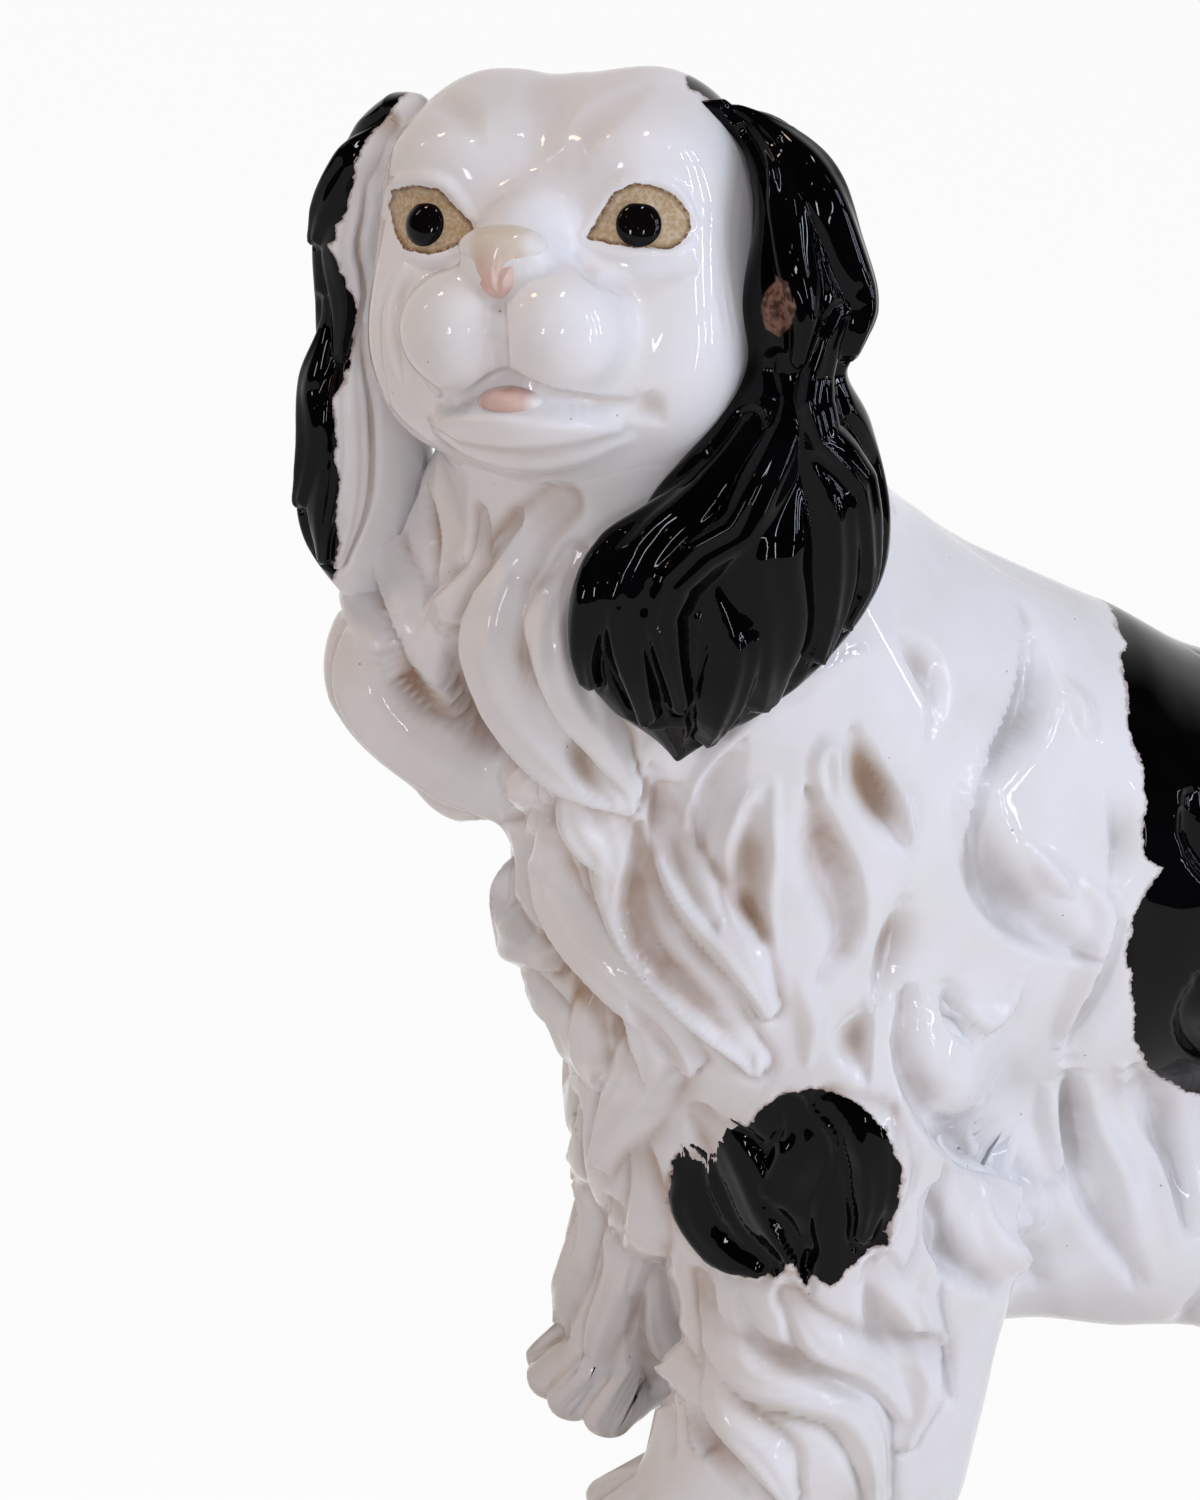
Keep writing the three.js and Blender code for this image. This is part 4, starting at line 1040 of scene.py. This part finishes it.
def glazed_earthenware():
    """White lead glaze on buff earthenware, brushed with black. To the eye it is a wet shine over a soft
    white body, with shade painted into its hollows, grey on the flank and buff and stronger on the breast,
    where it also stands for the buff body under thin glaze, with reddish halos round the black and a dry
    brown spot where the glaze missed the ear."""
    material, tree = new_material("glazed_earthenware")
    where = add(tree, "ShaderNodeTexCoord", give="Object")
    ahead = add(tree, "ShaderNodeSeparateXYZ", {0: where}, give="Y")
    hollow, brushed, eyelid, missed = (add(tree, "ShaderNodeAttribute", give="Fac", attribute_name=name)
                                       for name in ("hollow", "black", "eyelid", "bare"))
    # mm across a cloud of the mottle, a grain, a streak, a blot of the ragged edge and a wave in the glaze
    mottle, fine, streak, blots, wave = (
        add(tree, "ShaderNodeTexNoise", {"Vector": where, "Scale": per_mm(size), "Detail": detail,
                                         "Roughness": rough})
        for size, detail, rough in ((26, 3, 0.5), (2.2, 2, 0.5), (1.1, 3, 0.5), (6, 3, 0.65), (9, 2, 0.5)))
    # 13 mm from one pin hole to the next, and each drawn wider than a real one, so that it shows
    pits = add(tree, "ShaderNodeTexVoronoi", {"Vector": where, "Scale": per_mm(13)}, give="Distance")
    # mm by which the grain and the blots move the edges of the eye surround and of the black
    shaken, ragged = (
        add(tree, "ShaderNodeMath", {0: pattern, 1: reach, 2: -reach / 2}, operation="MULTIPLY_ADD")
        for pattern, reach in ((fine, 1.2), (blots, 4.4)))
    lid, edge = (add(tree, "ShaderNodeMath", {0: mark, 1: moved}, operation="ADD")
                 for mark, moved in ((eyelid, shaken), (brushed, ragged)))
    dry = add(tree, "ShaderNodeMath", {0: ragged, 1: 0.35, 2: missed}, operation="MULTIPLY_ADD")
    # a share of each layer or tone: what it follows, where that share is 0 and full, and how much full is
    share = {
        name: add(tree, "ShaderNodeMapRange", {"Value": value, "From Min": nothing, "From Max": full,
                                               "To Max": most}, interpolation_type="SMOOTHSTEP")
        for name, value, nothing, full, most in (
            ("greyer white", mottle, 0.35, 0.7, 1.0),
            # the shade painted into the hollows is uneven with the mottle, and stronger and buffer towards the
            # breast
            ("uneven shade and thin glaze", mottle, 0.2, 0.75, 1.0),
            ("breast", ahead, -0.03, -0.1, 1.0),
            ("pin hole", pits, 0.035, 0.02, 0.55),
            ("pale streak", streak, 0.4, 0.62, 1.0),
            ("brown streak", streak, 0.3, 0.55, 1.0),
            ("rim", lid, 1.9, 0.2, 1.0),
            ("eye surround", lid, -0.1, 0.25, 1.0),
            ("halo", edge, -1.0, 0.0, 0.55),
            ("black", edge, -0.12, 0.12, 1.0),
            ("bluer black", mottle, 0.3, 0.8, 1.0),
            ("bare", dry, -0.2, 0.6, 1.0),
            ("grain", fine, 0.35, 0.6, 1.0))}
    # two tones of the white, of the shade painted into the hollows (grey on the flank, buff on the breast,
    # where
    #     it also stands for the buff body under thin glaze), of the biscuit-coloured eye surround, of the
    #     black and of the dry body
    white, shade_and_thin_glaze, biscuit, black, body = (
        add(tree, "ShaderNodeMix", {0: share[name], 6: colour(tone), 7: colour(other)}, **RGBA)
        for name, tone, other in (
            ("greyer white", "#f1f2f5", "#eceded"), ("breast", "#a8a2a0", "#a98a6e"),
            ("pale streak", "#bda582", "#cfbea3"), ("bluer black", "#030304", "#08070a"),
            ("grain", "#4a3630", "#86685a")))
    # painted shade, with some thin glaze: it grows with the hollow's depth to the power 1.6, is uneven with
    # the mottle, and is stronger on the breast
    deep = add(tree, "ShaderNodeMath", {0: hollow, 1: 1.6}, operation="POWER")
    deep = add(tree, "ShaderNodeMath", {0: deep, 1: share["uneven shade and thin glaze"]}, operation="MULTIPLY")
    strong = add(tree, "ShaderNodeMath", {0: share["breast"], 1: 0.38, 2: 0.6}, operation="MULTIPLY_ADD")
    tint_share = add(tree, "ShaderNodeMath", {0: deep, 1: strong}, operation="MULTIPLY")
    # brown strokes round the edge of the eye surround
    strokes = add(tree, "ShaderNodeMath", {0: share["rim"], 1: share["brown streak"]}, operation="MULTIPLY")
    biscuit = add(tree, "ShaderNodeMix", {0: strokes, 6: biscuit, 7: colour("#75543a")}, **RGBA)
    # over the white go the painted shade in the hollows, pin holes, the eye surround, halos, the black and the
    # bare spot
    base = white
    for much, tint in ((tint_share, shade_and_thin_glaze), (share["pin hole"], colour("#6b5a4e")),
                       (share["eye surround"], biscuit), (share["halo"], colour("#7d5141")),
                       (share["black"], black), (share["bare"], body)):
        base = add(tree, "ShaderNodeMix", {0: much, 6: base, 7: tint}, **RGBA)
    # the bare spot keeps a fifth of the shine
    cover = add(tree, "ShaderNodeMath", {0: share["bare"], 1: -0.8, 2: 1.0}, operation="MULTIPLY_ADD")
    bump = add(tree, "ShaderNodeBump", {"Height": wave, "Strength": 0.12, "Distance": 0.0012})
    clear_glaze(tree, base, bump, 0.3, cover)
    return material


def black_enamel():
    """Vitreous black enamel, thick enough to stand as a drop. To the eye it is one deep black with sharp
    points of light in it."""
    material, tree = new_material("black_enamel")
    where = add(tree, "ShaderNodeTexCoord", give="Object")
    cloud, wave = (
        add(tree, "ShaderNodeTexNoise", {"Vector": where, "Scale": per_mm(size), "Detail": 2,
                                         "Roughness": 0.5})
        for size in (4, 3))
    base = add(tree, "ShaderNodeMix", {0: cloud, 6: colour("#060507"), 7: colour("#120e10")}, **RGBA)
    bump = add(tree, "ShaderNodeBump", {"Height": wave, "Strength": 0.04, "Distance": 0.0005})
    clear_glaze(tree, base, bump, 0.15)
    return material


def tinted_bisque(name, pale, pink):
    """Clay stained with iron and left thinly glazed. To the eye it is a matt body with a soft shine, pink
    where the stain lies and nearly as white as the glaze at its ends."""
    material, tree = new_material(name)
    where = add(tree, "ShaderNodeTexCoord", give="Object")
    tint_share, blank = (add(tree, "ShaderNodeAttribute", give="Fac", attribute_name=mark)
                      for mark in ("pink", "blank"))
    cloud, grain = (
        add(tree, "ShaderNodeTexNoise", {"Vector": where, "Scale": per_mm(size), "Detail": 3,
                                         "Roughness": 0.5})
        for size in (5, 1.2))
    base = add(tree, "ShaderNodeMix", {0: tint_share, 6: colour(pale), 7: colour(pink)}, **RGBA)
    base = add(tree, "ShaderNodeMix", {0: cloud, 6: base, 7: colour("#e6dcd2")}, **RGBA)
    base = add(tree, "ShaderNodeMix", {0: blank, 6: base, 7: colour("#eeeceb")}, **RGBA)
    bump = add(tree, "ShaderNodeBump", {"Height": grain, "Strength": 0.15, "Distance": 0.0004})
    clear_glaze(tree, base, bump, 0.45)
    return material


earthenware = glazed_earthenware()
eye_enamel = black_enamel()
FINISHES = {"left_eye": eye_enamel, "right_eye": eye_enamel,
            "nose": tinted_bisque("stained_nose_clay", "#d9cfba", "#dba99e"),
            "tongue": tinted_bisque("stained_tongue_clay", "#dcb8a6", "#d6a092")}
for name, piece in pieces.items():
    piece.data.materials.append(FINISHES.get(name, earthenware))


# Studio: a pale floor, a white backdrop, and a tall window with the small lights of a room round it
FLOOR_HALF = 3.0  # metres
SHOWN = 0.96  # how white the floor is to the camera; the rest of it keeps the statue's shadow
floor_mesh = bpy.data.meshes.new("floor")
floor_mesh.from_pydata([(x * FLOOR_HALF, y * FLOOR_HALF, 0) for x, y in ((-1, -1), (1, -1), (1, 1), (-1, 1))],
                       [], [(0, 1, 2, 3)])
floor = bpy.data.objects.new("floor", floor_mesh)
bpy.context.scene.collection.objects.link(floor)
paper, tree = new_material("seamless_paper")
rays = add(tree, "ShaderNodeLightPath", give=None).outputs
matt = add(tree, "ShaderNodeBsdfDiffuse", {"Color": colour("#e6ddd3")})
lit = add(tree, "ShaderNodeEmission", {"Color": colour("#ffffff"), "Strength": 1.0})
straight = add(tree, "ShaderNodeMath", {0: rays["Is Camera Ray"], 1: rays["Is Transmission Ray"]},
               operation="MAXIMUM")
seen = add(tree, "ShaderNodeMath", {0: straight, 1: rays["Is Glossy Ray"]}, operation="MAXIMUM")
share = add(tree, "ShaderNodeMath", {0: seen, 1: SHOWN}, operation="MULTIPLY")
both = add(tree, "ShaderNodeMixShader", {0: share, 1: matt, 2: lit})
add(tree, "ShaderNodeOutputMaterial", {"Surface": both}, give=None)
floor_mesh.materials.append(paper)

# The room is dim and warm. The camera sees it white, and the glaze mirrors white only from straight behind
ROOM_LIGHT, ROOM_IN_GLAZE = 0.15, 0.03
world = bpy.data.worlds.new("studio")
bpy.context.scene.world = world
world.use_nodes = True
tree = world.node_tree
tree.nodes.clear()
rays = add(tree, "ShaderNodeLightPath", give=None).outputs
where = add(tree, "ShaderNodeTexCoord", give="Generated")
behind = add(tree, "ShaderNodeVectorMath", {0: where, 1: tuple(-BACK)}, give="Value", operation="DOT_PRODUCT")
backdrop = add(tree, "ShaderNodeMapRange", {"Value": behind, "From Min": 0.1, "From Max": 0.55})
mirrored = add(tree, "ShaderNodeMath", {0: rays["Is Glossy Ray"], 1: backdrop}, operation="MULTIPLY")
straight = add(tree, "ShaderNodeMath", {0: rays["Is Camera Ray"], 1: rays["Is Transmission Ray"]},
               operation="MAXIMUM")
seen = add(tree, "ShaderNodeMath", {0: straight, 1: mirrored}, operation="MAXIMUM")
dim = add(tree, "ShaderNodeMapRange", {"Value": rays["Is Glossy Ray"], "To Min": ROOM_LIGHT,
                                       "To Max": ROOM_IN_GLAZE})
room = add(tree, "ShaderNodeBackground", {"Color": colour("#e8d2bb"), "Strength": dim})
white_wall = add(tree, "ShaderNodeBackground", {"Color": colour("#ffffff"), "Strength": 1.0})
sky = add(tree, "ShaderNodeMixShader", {0: seen, 1: room, 2: white_wall})
add(tree, "ShaderNodeOutputWorld", {"Surface": sky}, give=None)


def lamp(name, place, aim, wide, high, watts, tint):
    """A flat lamp of that size in metres at a place, turned to what it points at."""
    data = bpy.data.lights.new(name, "AREA")
    data.shape, data.size, data.size_y, data.energy = "RECTANGLE", wide, high, watts
    data.color = colour(tint)[:3]
    made = bpy.data.objects.new(name, data)
    bpy.context.scene.collection.objects.link(made)
    made.location = place
    made.rotation_euler = (Vector(aim) - Vector(place)).to_track_quat("-Z", "Y").to_euler()


# A window of six panes, so that the soft light still leaves small bright reflections in the glaze
WINDOW_AT, WINDOW_AIM = arr(1.45, 0.85, 1.1), arr(0, -0.05, 0.22)
COLUMNS_APART, ROWS_APART = 0.3, 0.66
PANE_WIDE, PANE_HIGH, PANE_WATTS = 0.045, 0.5, 3.1
window_side = unit(np.cross(UP, WINDOW_AT - WINDOW_AIM))
window_up = unit(np.cross(WINDOW_AT - WINDOW_AIM, window_side))
for column in (-1, 0, 1):
    for row in (-0.5, 0.5):
        place = WINDOW_AT + COLUMNS_APART * column * window_side + ROWS_APART * row * window_up
        lamp(f"pane_{column}_{row:g}", place, WINDOW_AIM, PANE_WIDE, PANE_HIGH, PANE_WATTS, "#e2ecff")

# place, what it points at, width, height, watts, tint
BREAST = (0, -0.1, 0.25)
ROOM_LIGHTS = {
    "clerestory": ((0.2, -0.35, 2.0), (0, -0.1, 0.35), 0.12, 0.3, 4.5, "#eef2ff"),
    "doorway": ((-0.9, -1.5, 1.1), (0, -0.12, 0.3), 0.05, 0.4, 1.2, "#f4f4ff"),
    "lamp_shade": ((-0.7, -1.15, 1.7), BREAST, 0.16, 0.22, 5.4, "#ffd9b6"),
    "by_the_tail": ((1.0, 1.6, 0.55), BREAST, 0.035, 0.35, 1.0, "#f4f4ff"),
    "beside": ((1.8, 0.65, 0.3), BREAST, 0.035, 0.35, 1.8, "#f4f4ff"),
    "by_the_camera": ((1.7, -0.85, 0.7), BREAST, 0.08, 0.35, 3.2, "#f4f4ff"),
    "ahead": ((1.05, -1.7, 0.5), BREAST, 0.14, 0.35, 6.4, "#f4f4ff"),
    "overhead": ((1.1, 0.1, 1.75), BREAST, 0.035, 0.35, 1.0, "#f4f4ff"),
    "bulb_low": ((0.5, -1.6, 0.7), BREAST, 0.03, 0.03, 0.2, "#ffcf96"),
    "bulb_high": ((0.1, -1.4, 1.3), BREAST, 0.03, 0.03, 0.2, "#ffcf96"),
    "bulb_right": ((1.2, -1.1, 0.9), BREAST, 0.03, 0.03, 0.2, "#ffcf96"),
}
for name, (place, aim, wide, high, watts, tint) in ROOM_LIGHTS.items():
    lamp(name, place, aim, wide, high, watts, tint)

bpy.context.scene.view_settings.view_transform = "Standard"
